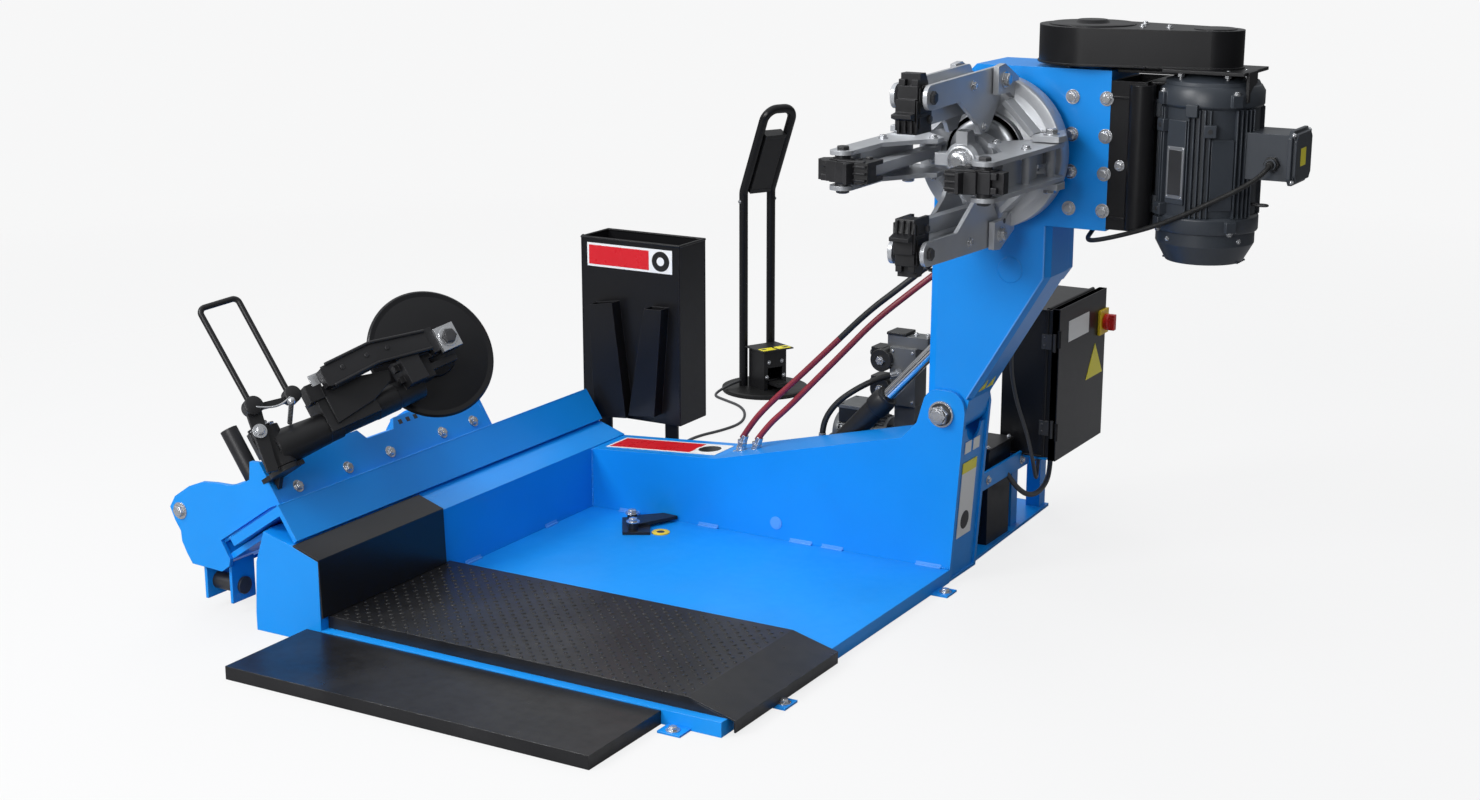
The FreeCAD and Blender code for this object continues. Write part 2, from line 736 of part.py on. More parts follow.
def arm_beam():
    front = D.arm_front
    outline = [
        (472, 384), (566, 384), (585, 470), (777, 793), (777, D.head_bottom),
        (D.head_right, D.head_bottom), (D.head_right, D.head_top), (582, D.head_top), (478, 1185),
    ]
    skin = 12
    column = plate("XZ", front, D.arm_depth, outline, rounds=((0, 46), (1, 46)))
    head_outline = [
        (478, 760), (748, 760), (770, 792), (770, D.head_bottom), (D.head_right, D.head_bottom),
        (D.head_right, D.head_top), (582, D.head_top), (478, 1185),
    ]
    head = plate("XZ", front + D.arm_depth - 1, D.head_depth - D.arm_depth + 1, head_outline)
    column_room = [
        (486, 500), (573, 500), (762, 800), (762, D.head_bottom + 12),
        (D.head_right - 12, D.head_bottom + 12), (D.head_right - 12, D.head_top - 12),
        (587, D.head_top - 12), (490, 1180), (490, 700),
    ]
    room = plate("XZ", front + skin, D.arm_depth - skin * 2 + 12 - 0.5, column_room)
    head_room = [
        (490, 772), (742, 772), (758, 796), (758, D.head_bottom + 12),
        (D.head_right - 12, D.head_bottom + 12), (D.head_right - 12, D.head_top - 12),
        (587, D.head_top - 12), (490, 1180),
    ]
    deep_room = plate("XZ", front + D.arm_depth - skin - 2, D.head_depth - D.arm_depth + 2, head_room)
    pivot_bore = rod((D.pivot_x, front - 5, D.pivot_z), "y", D.pivot_radius + D.running, 200)
    spindle_bore = rod((D.chuck_x, front - 5, D.chuck_z), "y", D.spindle_radius + D.running, 250)
    worm_bore = rod((D.worm_x, D.drive_y, D.head_top - 30), "z", 20 + D.running, 60)
    bevels = [
        arm_bevel((777, 790), 130, 0, 10, 25), arm_bevel((585, 470), 377, 30.73, 10, 25),
        arm_bevel((472, 384), 802, 0.43, -20, 8),
    ]
    beam = cut(fuse([column, head]), [room, deep_room, pivot_bore, spindle_bore, worm_bore] + bevels)
    neck = cut(rod((D.worm_x, D.drive_y, D.head_top), "z", 44, 8),
               [rod((D.worm_x, D.drive_y, D.head_top - 1), "z", 20 + D.running, 12)])
    rear = D.arm_front + D.head_depth
    cap = cut(rod((D.chuck_x, rear - 1, D.chuck_z), "y", 88, 13),
              [rod((D.chuck_x, rear - 2, D.chuck_z), "y", D.spindle_radius + D.running, 10)])
    swivel = rod((D.chuck_x, rear + 11, D.chuck_z), "y", 24, 48)
    ports = [
        rod((D.chuck_x - 22, rear + 52, D.chuck_z - 52), "z", 11, 40),
        rod((D.chuck_x + 22, rear + 52, D.chuck_z - 52), "z", 11, 40),
        box((D.chuck_x - 34, rear + 37, D.chuck_z - 14), (D.chuck_x + 34, rear + 67, D.chuck_z + 14)),
    ]
    sub_part("arm_beam", fuse([beam, neck, cap, swivel] + ports))


def motor_bracket():
    left = D.head_right
    right = 1003
    low = 925
    high = 1268
    front = D.arm_front
    back = D.arm_front + D.head_depth
    sides = [
        box((left, front, low), (right, front + 8, high)),
        box((left, back - 8, low), (right, back, high)),
        box((right - 8, front, low), (right, back, high)),
        box((left, front, low), (left + 8, back, high)),
    ]
    sub_part("motor_bracket", fuse(sides))


def motor():
    x, y = D.motor_x, D.drive_y
    radius = D.motor_radius
    low = D.motor_bottom
    high = D.motor_top
    housing = turned([
        (92, low), (radius, low), (radius, high), (104, high + 12), (60, high + 28), (20.05, high + 28),
        (20.05, high + 8), (92, high - 10),
    ], (x, y, 0), "z")
    feet = [
        box((1003, y - 70, level), (1032, y + 70, level + 40)) for level in (970, 1190)
    ]
    body = cut(fuse([housing] + feet), [rod((x, y, low), "z", 91, high - low - 10)])
    chest = box((1228, y - 58, 1062), (1338, y + 62, 1166))
    saddle = box((1214, y - 40, 1080), (1228, y + 40, 1150))
    gland = rod((1290, y - 78, 1100), "y", 13, 20)
    body_clear = rod((x, y, 1050), "z", radius, 130)
    terminal = cut(fuse([chest, saddle, gland]), [body_clear])
    cowl = turned([
        (30, low - 74), (88, low - 74), (radius + 2, low - 30), (radius + 2, low + 1),
        (radius - 4, low + 1), (radius - 4, low - 29), (86, low - 70), (30, low - 70),
    ], (x, y, 0), "z")
    grille = [
        box((x - 90, y - 2 + shift, low - 74), (x + 90, y + 2 + shift, low - 70))
        for shift in (-24, -12, 0, 12, 24)
    ]
    sub_part("motor_body", fuse([body, cowl, terminal] + grille))
    rotor = rod((x, y, low + 40), "z", 62, 230)
    shaft = rod((x, y, low - 40), "z", 20, 1368 - 895)
    fan = rod((x, y, low - 40), "z", 84, 22)
    pulley = belt_pulley(x, y, 48)
    sub_part("motor_shaft", fuse([rotor, shaft, fan, pulley]))


def belt_pulley(x, y, radius):
    """A V-belt pulley with two flanges."""
    flange = [rod((x, y, level), "z", radius + 6, 5) for level in (1322, 1355)]
    return fuse([rod((x, y, 1322), "z", radius, 38)] + flange)


def worm_drive():
    x, y = D.worm_x, D.drive_y
    shaft = rod((x, y, 945), "z", 20, 1368 - 945)
    worm = rod((x, y, 1010), "z", 24.9, 168)
    sub_part("worm_shaft", fuse([shaft, worm, belt_pulley(x, y, 96)]))


def belt():
    """One V belt round both pulleys, with 0.3 mm between belt and pulley."""
    y = D.drive_y
    inner = belt_loop(96.3, 48.3, y, 1331, 20)
    outer = belt_loop(104, 56, y, 1331, 20)
    sub_part("drive_belt", cut(outer, [inner]))


def belt_loop(big, small, y, level, height):
    """The solid that a belt round two pulleys encloses."""
    gap = D.motor_x.value - D.worm_x.value
    lean = math.asin((big - small) / gap)
    corners = []
    for centre, radius, sides in ((D.worm_x, big, (1, -1)), (D.motor_x, small, (-1, 1))):
        for side in sides:
            corners.append((centre + radius * math.sin(lean), y + side * radius * math.cos(lean)))
    middle = plate("XY", level, height, corners)
    near = rod((D.worm_x, y, level), "z", big, height)
    far = rod((D.motor_x, y, level), "z", small, height)
    return fuse([middle, near, far])


def belt_guard():
    """Black cover over both pulleys, open below, with a rolled lip and a cross strap."""
    y = D.drive_y
    low = D.guard_bottom
    height = D.guard_top - low
    outer = belt_loop(122, 66, y, low, height)
    inner = belt_loop(119, 63, y, low - 1, height - 2)
    cap = rod((D.worm_x, y, D.guard_top), "z", 30, 10)
    lip = cut(belt_loop(125, 69, y, low, 4), [belt_loop(119, 63, y, low - 1, 6)])
    strap = box((D.worm_x + 112, y - 104, low), (D.worm_x + 166, y + 104, low + 3))
    trimmed = cut(strap, [
        box((D.worm_x + 100, y + 101, low - 1), (D.worm_x + 180, y + 110, low + 5)),
        box((D.worm_x + 100, y - 110, low - 1), (D.worm_x + 180, y - 101, low + 5)),
    ])
    sub_part("belt_guard", fuse([cut(outer, [inner]), cap, lip, trimmed]))


# ---------------------------------------------------------------- chuck
SIDES = ("top", "right", "bottom", "left")


def around(number):
    """Turn about the chuck's axis: the first clamp arm points up."""
    return Rotation(Vector(0, 1, 0), 90 * number)


def radial(outline, half_gap, thickness, number, circles=(), rounds=()):
    """A plate in a radial plane of the chuck, drawn as (Y, distance from the axis), that lies
    beside that plane from half_gap to half_gap plus thickness."""
    base = (D.chuck_x, 0, D.chuck_z)
    return plate("YZ", half_gap, thickness, outline, circles, rounds, base, around(number))


def radial_pin(level, radius_out, pin, half, number):
    """A pin square to a radial plane of the chuck, half long each way."""
    bar = doc.addObject("Part::Cylinder", "Pin")
    bind(bar, "Radius", pin)
    bar.Height = 2 * half
    turn = around(number)
    spot = turn.multVec(Vector(-half, 0, as_size(radius_out).value))
    place(bar, (D.chuck_x + spot.x, level, D.chuck_z + spot.z), turn.multiply(AXIS_TURN["x"]))
    return bar


def chuck_body():
    axis = (D.chuck_x, 0, D.chuck_z)
    spindle = D.spindle_radius
    disc = turned([
        (20 + D.running, 412), (50, 412), (50, 470), (95, 470), (95, 490), (D.chuck_radius, 502),
        (D.chuck_radius, 548), (spindle, 560), (spindle, 640), (154.6, 640), (154.6, 690),
        (spindle, 690), (spindle, 752), (20 + D.running, 752),
    ], axis, "y")
    pieces = [disc]
    for number in range(4):
        ear = [(405, 146), (405, 210), (440, 214), (520, 178), (520, 120), (470, 146)]
        for gap in (46.5, -60.5):
            pieces.append(radial(ear, gap, 14, number))
        small_ear = [(452, 112), (452, 144), (505, 150), (505, 104)]
        for gap in (13, -21):
            pieces.append(radial(small_ear, gap, 8, number))
        pieces.append(radial_pin(D.lug_level, D.lug_radius, D.clamp_pin - D.running, 68, number))
        link_level = D.lug_level + D.link_lead
        link_radius = D.lug_radius - D.link_drop
        pieces.append(radial_pin(link_level, link_radius, D.link_pin - D.running, 22, number))
        pieces.append(chord_bar(number))
    sub_part("chuck_body", fuse(pieces))


def chord_bar(number):
    """A stiffening bar on the chuck's disc, from one clamp arm's ears to the next."""
    turn = Rotation(Vector(0, 1, 0), 90 * number + 45)
    corner = turn.multVec(Vector(-52, 0, 121))
    bar = box((0, 0, 0), (104, 50, 12))
    return place(bar, (D.chuck_x + corner.x, 450, D.chuck_z + corner.z), turn)


def spider():
    """Draw piece with a hexagon nut in front, four short arms and a draw rod."""
    axis = (D.chuck_x, 0, D.chuck_z)
    hub = turned([
        (0, 318), (13, 318), (13, 334), (34, 340), (42, 350), (42, 384), (20, 392), (20, 600), (0, 600),
    ], axis, "y")
    pieces = [hub]
    for number in range(4):
        arm = [(344, 20), (344, 66), (372, 68), (384, 58), (384, 20)]
        pieces.append(radial(arm, -14, 28, number))
    sub_part("spider", fuse(pieces))


def clamp_arm(number):
    """Pair of plates from the lug to the jaw, with an inner corner for the spider."""
    outline = [
        (62, 143), (62, 197), (468, 208), (468, 150), (392, 66), (350, 62), (336, 84), (235, 146),
    ]
    rounds = ((0, 24), (1, 24), (2, 20), (3, 16), (4, 10), (6, 12))
    holes = [(D.jaw_level, D.jaw_radius, D.clamp_pin), (D.lug_level, D.lug_radius, D.clamp_pin)]
    pair = [radial(outline, gap, 10, number, holes, rounds) for gap in (34, -44)]
    tie = radial_pin(300, 176, 9, 36, number)
    sub_part(f"clamp_arm_{SIDES[number]}", fuse(pair + [tie]))


def clamp_link(number):
    """Bar below the clamp arm that keeps the jaw square."""
    front = D.jaw_level + D.link_lead
    low = D.jaw_radius - D.link_drop
    back = D.lug_level + D.link_lead
    high = D.lug_radius - D.link_drop
    outline = [
        (front - 17, low - 17), (front - 17, low + 17), (back + 17, high + 17), (back + 17, high - 17),
    ]
    holes = [(front, low, D.link_pin), (back, high, D.link_pin)]
    rounds = ((0, 15), (1, 15), (2, 15), (3, 15))
    sub_part(f"clamp_link_{SIDES[number]}", radial(outline, -12, 24, number, holes, rounds))


def clamp_jaw(number):
    """Stepped claw with its two pins."""
    outline = [
        (132, 92), (132, 150), (112, 154), (112, 200), (98, 222), (72, 222), (72, 196), (58, 196),
        (58, 168), (48, 168), (48, 140), (26, 137), (26, 129), (50, 122), (56, 92),
    ]
    block = radial(outline, -23, 46, number)
    slot = radial([(98, 80), (98, 152), (150, 152), (150, 80)], -13.5, 27, number)
    front = D.jaw_level + D.link_lead
    low = D.jaw_radius - D.link_drop
    pins = [
        radial_pin(D.jaw_level, D.jaw_radius, D.clamp_pin - D.running, 52, number),
        radial_pin(front, low, D.link_pin - D.running, 23, number),
    ]
    sub_part(f"clamp_jaw_{SIDES[number]}", fuse([cut(block, [slot])] + pins))


# ---------------------------------------------------------------- lift cylinder
def lift():
    """Hydraulic cylinder behind the wall that raises the arm."""
    rise = math.degrees(math.atan2(LIFT_TOP[1] - LIFT_FOOT[1], LIFT_TOP[0] - LIFT_FOOT[0]))
    reach = math.dist(LIFT_FOOT, LIFT_TOP)
    turn = Rotation(Vector(0, 1, 0), -rise)
    base = Vector(LIFT_FOOT[0], LIFT_Y, LIFT_FOOT[1])

    def along(start, radius, length):
        bar = rod((0, 0, 0), "x", radius, length)
        spot = base + turn.multVec(Vector(start, 0, 0))
        return place(bar, tuple(spot), turn.multiply(AXIS_TURN["x"]))

    def across(distance, radius, low, high):
        spot = base + turn.multVec(Vector(distance, 0, 0))
        return rod((spot.x, low, spot.z), "y", radius, high - low)

    port = rod((88, LIFT_Y - 6, 205), "z", 12, 57)
    tube = cut(fuse([along(30, 29, 320), port]), [along(42, 17.06, 400)])
    eye = across(0, 24, LIFT_Y - 16, LIFT_Y + 16)
    neck = along(16, 18, 16)
    barrel = cut(fuse([tube, eye, neck]), [across(0, 14.05, LIFT_Y - 20, LIFT_Y + 20)])
    sub_part("lift_cylinder", barrel)
    rod_bar = along(335, 17, reach - 351)
    rod_eye = across(reach, 24, LIFT_Y - 16, LIFT_Y + 16)
    stub = across(reach, 13, LIFT_Y - 40, LIFT_Y + 24)
    sub_part("lift_rod", fuse([rod_bar, rod_eye, stub]))


# ---------------------------------------------------------------- carriage
def carriage_frame():
    front = D.carriage_front
    back = D.carriage_front + D.carriage_length
    outline = [
        (-662, 306), (-718, 398), (-748, 396), (-752, 352), (-781, 336), (-817, 328), (-861, 327),
        (-905, 323), (-946, 307), (-994, 275), (-1012, 246), (-998, 214), (-982, 190), (-980, 164),
        (-966, 136), (-950, 112), (-856, 108), (-832, 125), (-828, 143), (-854, 186), (-694, 292),
    ]
    ends = [plate("XZ", start, 12, outline) for start in (front, back - 12)]
    channel = [
        (-250, 27), (-6, 27), (-6, 13), (-238, 13), (-238, -16), (-78, -16), (-78, -30), (-250, -30),
    ]
    shoe = inclined("XZ", front + 12, D.carriage_length - 24, channel)
    edge = [
        (-508, 20), (293, 20), (293, 96), (262, 120), (-30, 120), (-48, 92), (-150, 92), (-170, 120),
        (-508, 120),
    ]
    lip = inclined("YZ", -18, 12, edge)
    shaft = rod((-979, front, 241), "y", 15, D.carriage_length)
    pieces = ends + [shoe, lip, shaft]
    for start in (-925, -845):
        pieces.append(box((start, front + 12, 26), (start + 8, front + 90, 112)))
        pieces.append(box((start, front + 12, 108), (start + 8, front + 90, 130)))
    pieces.append(rod((-925, front + 50, 63), "x", 20, 88))
    floor_pan = [(-951, 112), (-858, 108), (-858, 116), (-951, 120)]
    pieces.append(plate("XZ", front + 12, D.carriage_length - 24, floor_pan))
    sub_part("carriage_frame", fuse(pieces))


ARM_FOOT = Vector(-700, -505, 430)
ARM_TURN = 65


def arm_frame():
    """Turn of the tool arm's frame: x along the arm, z square to the rail's bar."""
    return tilt().multiply(Rotation(Vector(0, 0, 1), ARM_TURN))


def on_arm(block, corner):
    """Moves a piece that was drawn at the origin to a corner in the tool arm's frame."""
    spot = ARM_FOOT + arm_frame().multVec(Vector(*corner))
    turn = arm_frame().multiply(block.Placement.Rotation)
    return place(block, tuple(spot), turn)


def arm_block(low, high):
    size = [end - start for start, end in zip(low, high)]
    return on_arm(box((0, 0, 0), size), low)


def arm_rod(start, axis, radius, length):
    return on_arm(rod((0, 0, 0), axis, radius, length), start)


PIVOT_SPOT = (0, -25)


def tool_post():
    """Swivel pin with its bracket on the carriage, and two upright sockets."""
    x, y = PIVOT_SPOT
    pin = arm_rod((x, y, -70), "z", 20, 118)
    flange = arm_rod((x, y, -70), "z", 36, 12)
    bracket = inclined("XY", 71, 11, [(-3, -540), (78, -540), (78, -470), (-6, -470), (-6, -507),
                                      (-3, -507)])
    web = inclined("XZ", -506, 14, [(-3, 48), (22, 72), (-3, 72)])
    sockets = [upright(-90, -470, 21, 240), upright(-60, -425, 17, 216)]
    sub_part("tool_post", fuse([pin, flange, bracket, web] + sockets))


def upright(along, level, radius, top):
    """A round post that stands square on the carriage's channel."""
    foot = 27
    corner = tilt().multVec(Vector(along, 0, foot))
    spot = (D.rail_origin_x + corner.x, level, D.rail_origin_z + corner.z)
    return place(rod((0, 0, 0), "z", radius, top - foot), spot, tilt())


def tool_arm():
    x, y = PIVOT_SPOT
    boss = arm_rod((x, y, -56), "z", 36, 98)
    barrel = on_arm(turned([(0, 0), (42, 0), (42, 30), (37, 110), (36, 170), (0, 170)], (0, 0, 0), "x"),
                    (0, y, -14))
    neck = arm_rod((170, y, -12), "x", 34, 160)
    clevis = arm_block((133, -66, -34), (268, 12, 60))
    bore = arm_rod((x, y, -90), "z", 20 + D.running, 150)
    socket = arm_rod((240, y, -12), "x", 20 + D.running, 100)
    lever_boss = arm_rod((-31, -86, 33), "y", 12, 42)
    lever_pad = arm_block((-44, -52, -20), (-14, -30, 44))
    body = fuse([boss, barrel, neck, clevis, lever_pad, lever_boss])
    sub_part("tool_arm", cut(body, [bore, socket]))


def tool_head():
    """Turning head: channel beam with the hook on one side, two bars that hold the disc."""
    y = PIVOT_SPOT[1]
    spindle = arm_rod((244, y, -12), "x", 20, 130)
    hub = arm_rod((332, y, -12), "x", 32, 70)
    bridge = arm_block((352, -104, -12), (400, y, 60))
    beam = on_arm(plate("XZ", 0, 28, [
        (160, 62), (176, 58), (300, 66), (440, 46), (440, 92), (300, 118), (176, 112), (160, 106),
    ]), (0, -106, 0))
    bars = [arm_block((300 + 40, -78, level), (500, -60, level + 16)) for level in (2, 32)]
    tip = arm_block((440, -104, 34), (462, -78, 96))
    block = arm_block((462, -108, 26), (512, -78, 84))
    axle = arm_rod((486, -112, 54), "y", 14, 144)
    link = arm_block((402 - 12, -78, -12), (430, y, 48))
    sub_part("tool_hook", fuse([spindle, hub, bridge, beam, tip, block, axle, link] + bars))


def bead_disc():
    """Dished disc that turns on the head's axle."""
    radius = D.disc_radius
    profile = [
        (14 + D.running, 0), (30, 0), (30, 8), (60, 16), (66, 34), (radius - 3, 22),
        (radius, 25), (radius - 2, 30), (64, 42), (30, 42), (14 + D.running, 42),
    ]
    disc = turned(profile, (0, 0, 0), "y")
    sub_part("bead_disc", on_arm(disc, (486, -14, 54)))


def lift_handle():
    """U handle with two bosses and a latch plate, on a bolt at the arm's root."""
    loop, _, _ = bent_rod([(-18, -78, 100), (-22, -78, 350), (74, -78, 342), (76, -78, 88)], 7, 14)
    rods = shape_object(loop)
    rods.Placement = Placement(ARM_FOOT, arm_frame())
    plate_outline = [(-58, -60), (-34, -66), (-4, 70), (4, 96), (-12, 112), (-34, 104), (-46, 30)]
    latch = on_arm(plate("XZ", 0, 10, plate_outline, [(-31, 33, 12 + D.running)]), (0, -83, 0))
    boss_a = arm_rod((-18, -90, 92), "y", 22, 24)
    boss_b = arm_rod((78, -90, 80), "y", 20, 24)
    strut = on_arm(plate("XZ", 0, 8, [(-16, 80), (80, 66), (82, 80), (-14, 96)]), (0, -82, 0))
    sub_part("lift_handle", fuse([rods, latch, boss_a, boss_b, strut]))


# ---------------------------------------------------------------- hoses and cables
def cord(name, points, diameter):
    """A free hose or cable as a plain tube; prints its length and tightest radius."""
    tube, length, tightest = bent_rod(points, diameter / 2)
    print(f"{name}: length {length:.0f} mm, tightest radius {tightest:.0f} mm")
    sub_part(name, shape_object(tube))


HOSE_ONE = [
    (-93.3, 641.4, 266.5), (-66, 646, 312), (-22, 655, 364), (52, 664, 436), (150, 680, 536),
    (244, 696, 634), (330, 715, 706), (410, 745, 778), (500, 778, 856), (580, 800, 930),
    (622, 809, 990), (630, 807, 1040.4),
]
HOSE_TWO = [
    (-48.8, 641.9, 266.8), (-20, 650, 310), (32, 660, 360), (95, 668, 428), (180, 682, 520),
    (262, 700, 612), (350, 722, 690), (440, 752, 768), (540, 784, 850), (630, 804, 930),
    (668, 809, 985), (674, 807, 1041),
]
CONSOLE_CABLE = [
    (-884.8, 1997.2, 32), (-892, 1960, 30), (-905, 1925, 22), (-918, 1893, 9), (-905, 1862, 5),
    (-850, 1835, 5), (-770, 1795, 5),
    (-705, 1720, 5), (-656, 1610, 5), (-664, 1510, 5), (-700, 1400, 5), (-690, 1290, 5),
    (-600, 1180, 5), (-480, 1110, 5), (-390, 1070, 6), (-320, 1040, 14.5), (-200, 990, 15),
    (-100, 955, 18), (-38, 932, 48), (-10, 918, 105), (-6, 912, 170), (16, 910, 224), (63.6, 910, 249),
]
VALVE_HOSE = [
    (88, 750, 262.5), (88, 751, 292), (98, 757, 328), (122, 769, 364), (160, 785, 396),
    (205, 810, 424), (238, 838, 436), (253, 861.5, 437.8),
]
ARM_CABLE = [
    (716, 756.4, 850), (712, 790, 842), (680, 800, 770), (640, 810, 690), (598, 826, 600),
    (574, 850, 510), (572, 900, 400), (586, 950, 300), (590, 990, 210), (578, 1040, 150),
    (562, 1090, 150), (556, 1111, 208),
]
MOTOR_CABLE = [
    (1290, 583.6, 1098.4), (1288, 565, 1088), (1265, 552, 1066), (1225, 548, 1040), (1170, 546, 1010),
    (1105, 547, 975), (1040, 549, 945), (975, 552, 922), (920, 556, 905), (882, 566, 896),
    (868, 590, 899), (866, 616, 906), (866, 635, 914.4),
]
CABINET_CABLE = [
    (523.8, 930.2, 198.4), (540, 932, 190), (560, 950, 150), (572, 1000, 115), (575, 1070, 104),
    (572, 1140, 120), (562, 1180, 155), (560, 1184, 185), (560, 1180, 208.6),
]


def unions():
    """Screwed unions where the two arm hoses leave the top of the wall."""
    pieces = []
    for x, y in ((-96, 641), (-52, 641)):
        pieces.append(rod((x, y, 220), "z", 13, 24))
        pieces.append(rod((x, y, 244), "z", 10, 18))
    return pieces


platform()
tread_plate()
front_ramp()
anchor_brackets()
wheel_stop()
side_beam()
beam_cover()
guide_rail()
rear_wall()
arm_pivot_pin()
rear_base_plate()
oil_tank()
valve_block()
cabinet()
tool_box()
console()
arm_beam()
motor_bracket()
motor()
worm_drive()
belt()
belt_guard()
chuck_body()
spider()
for side_number in range(4):
    clamp_arm(side_number)
    clamp_link(side_number)
    clamp_jaw(side_number)
lift()
carriage_frame()
tool_post()
tool_arm()
tool_head()
bead_disc()
lift_handle()
sub_part("hose_unions", fuse(unions()))
cord("hose_one", HOSE_ONE, 16)
cord("hose_two", HOSE_TWO, 16)
cord("console_cable", CONSOLE_CABLE, 9)
cord("valve_hose", VALVE_HOSE, 16)
cord("arm_cable", ARM_CABLE, 10)
cord("motor_cable", MOTOR_CABLE, 12)
cord("cabinet_cable", CABINET_CABLE, 14)

# ---------------------------------------------------------------- checks and files
doc.recompute()
for item in doc.Objects:
    if any(word in item.State for word in ("Invalid", "Error")):
        raise RuntimeError(f"{item.Label} of {[one.Label for one in item.InList]} did not compute")
os.makedirs("parts", exist_ok=True)
for name, item in parts.items():
    shape = item.Shape
    if shape.isNull() or not shape.isValid():
        raise RuntimeError(f"{name} has no valid shape")
    print(f"{name}: {len(shape.Solids)} solid(s), {shape.Volume / 1000:.0f} cm3")
    shape.exportStep(f"parts/{name}.step")
print(len(parts), "sub-parts")
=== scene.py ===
import math
import random

import bmesh
import bpy
from mathutils import Matrix, Vector


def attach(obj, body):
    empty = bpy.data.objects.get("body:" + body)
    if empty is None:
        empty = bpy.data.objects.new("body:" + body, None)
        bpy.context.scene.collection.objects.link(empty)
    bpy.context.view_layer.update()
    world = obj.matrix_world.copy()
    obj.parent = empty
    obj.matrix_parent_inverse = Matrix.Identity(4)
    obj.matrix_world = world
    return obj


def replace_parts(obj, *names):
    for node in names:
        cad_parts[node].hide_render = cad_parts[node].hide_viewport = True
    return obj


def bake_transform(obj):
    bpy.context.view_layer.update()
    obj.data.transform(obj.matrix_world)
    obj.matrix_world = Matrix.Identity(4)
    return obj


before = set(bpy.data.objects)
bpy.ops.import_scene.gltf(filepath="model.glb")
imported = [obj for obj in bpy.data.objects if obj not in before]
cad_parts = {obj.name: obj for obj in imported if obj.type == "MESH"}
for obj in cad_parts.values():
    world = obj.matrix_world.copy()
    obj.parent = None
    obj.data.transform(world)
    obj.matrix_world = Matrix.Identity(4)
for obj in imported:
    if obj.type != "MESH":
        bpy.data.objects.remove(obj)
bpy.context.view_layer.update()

RNG = random.Random(7)
scene = bpy.context.scene


# ---------------------------------------------------------------- camera
LENS, SENSOR = 52.77, 36.0
CAMERA_SPOT = (2.6784, -4.1472, 1.8)
CAMERA_FALL, CAMERA_TURN = 14.49, 30.13


def add_object(name, data):
    obj = bpy.data.objects.new(name, data)
    scene.collection.objects.link(obj)
    return obj


def add_camera():
    data = bpy.data.cameras.new("camera")
    data.lens = LENS
    data.sensor_width = SENSOR
    data.clip_end = 60.0
    camera = add_object("camera", data)
    camera.location = CAMERA_SPOT
    camera.rotation_euler = (math.radians(90 - CAMERA_FALL), 0, math.radians(CAMERA_TURN))
    scene.camera = camera


add_camera()


# ---------------------------------------------------------------- materials
def node(tree, kind, **settings):
    made = tree.nodes.new(kind)
    for name, value in settings.items():
        if hasattr(made, name):
            setattr(made, name, value)
        else:
            made.inputs[name].default_value = value
    return made


def noise(tree, vector, scale, detail=4.0, rough=0.55):
    made = node(tree, "ShaderNodeTexNoise", Scale=scale, Detail=detail, Roughness=rough)
    tree.links.new(vector, made.inputs["Vector"])
    return made.outputs["Fac"]


def ramp(tree, factor, low, high, start=0.0, end=1.0):
    """Maps a factor from start..end to low..high, clamped."""
    made = node(tree, "ShaderNodeMapRange", clamp=True)
    for index, value in enumerate((start, end, low, high), start=1):
        made.inputs[index].default_value = value
    tree.links.new(factor, made.inputs[0])
    return made.outputs[0]


def mix(tree, factor, first, second):
    """Mixes two colours; each is a colour or another node's output."""
    made = node(tree, "ShaderNodeMix", data_type="RGBA")
    tree.links.new(factor, made.inputs[0])
    for slot, value in ((made.inputs[6], first), (made.inputs[7], second)):
        if isinstance(value, tuple):
            slot.default_value = (*value, 1.0)
        else:
            tree.links.new(value, slot)
    return made.outputs[2]


def math_node(tree, operation, first, second):
    made = node(tree, "ShaderNodeMath", operation=operation, use_clamp=True)
    for slot, value in zip(made.inputs, (first, second)):
        if isinstance(value, (int, float)):
            slot.default_value = value
        else:
            tree.links.new(value, slot)
    return made.outputs[0]


CLOUD_SCALE, FINE_SCALE, DUST_SCALE, EDGE_PATCH_SCALE = 5.0, 34.0, 9.0, 26.0


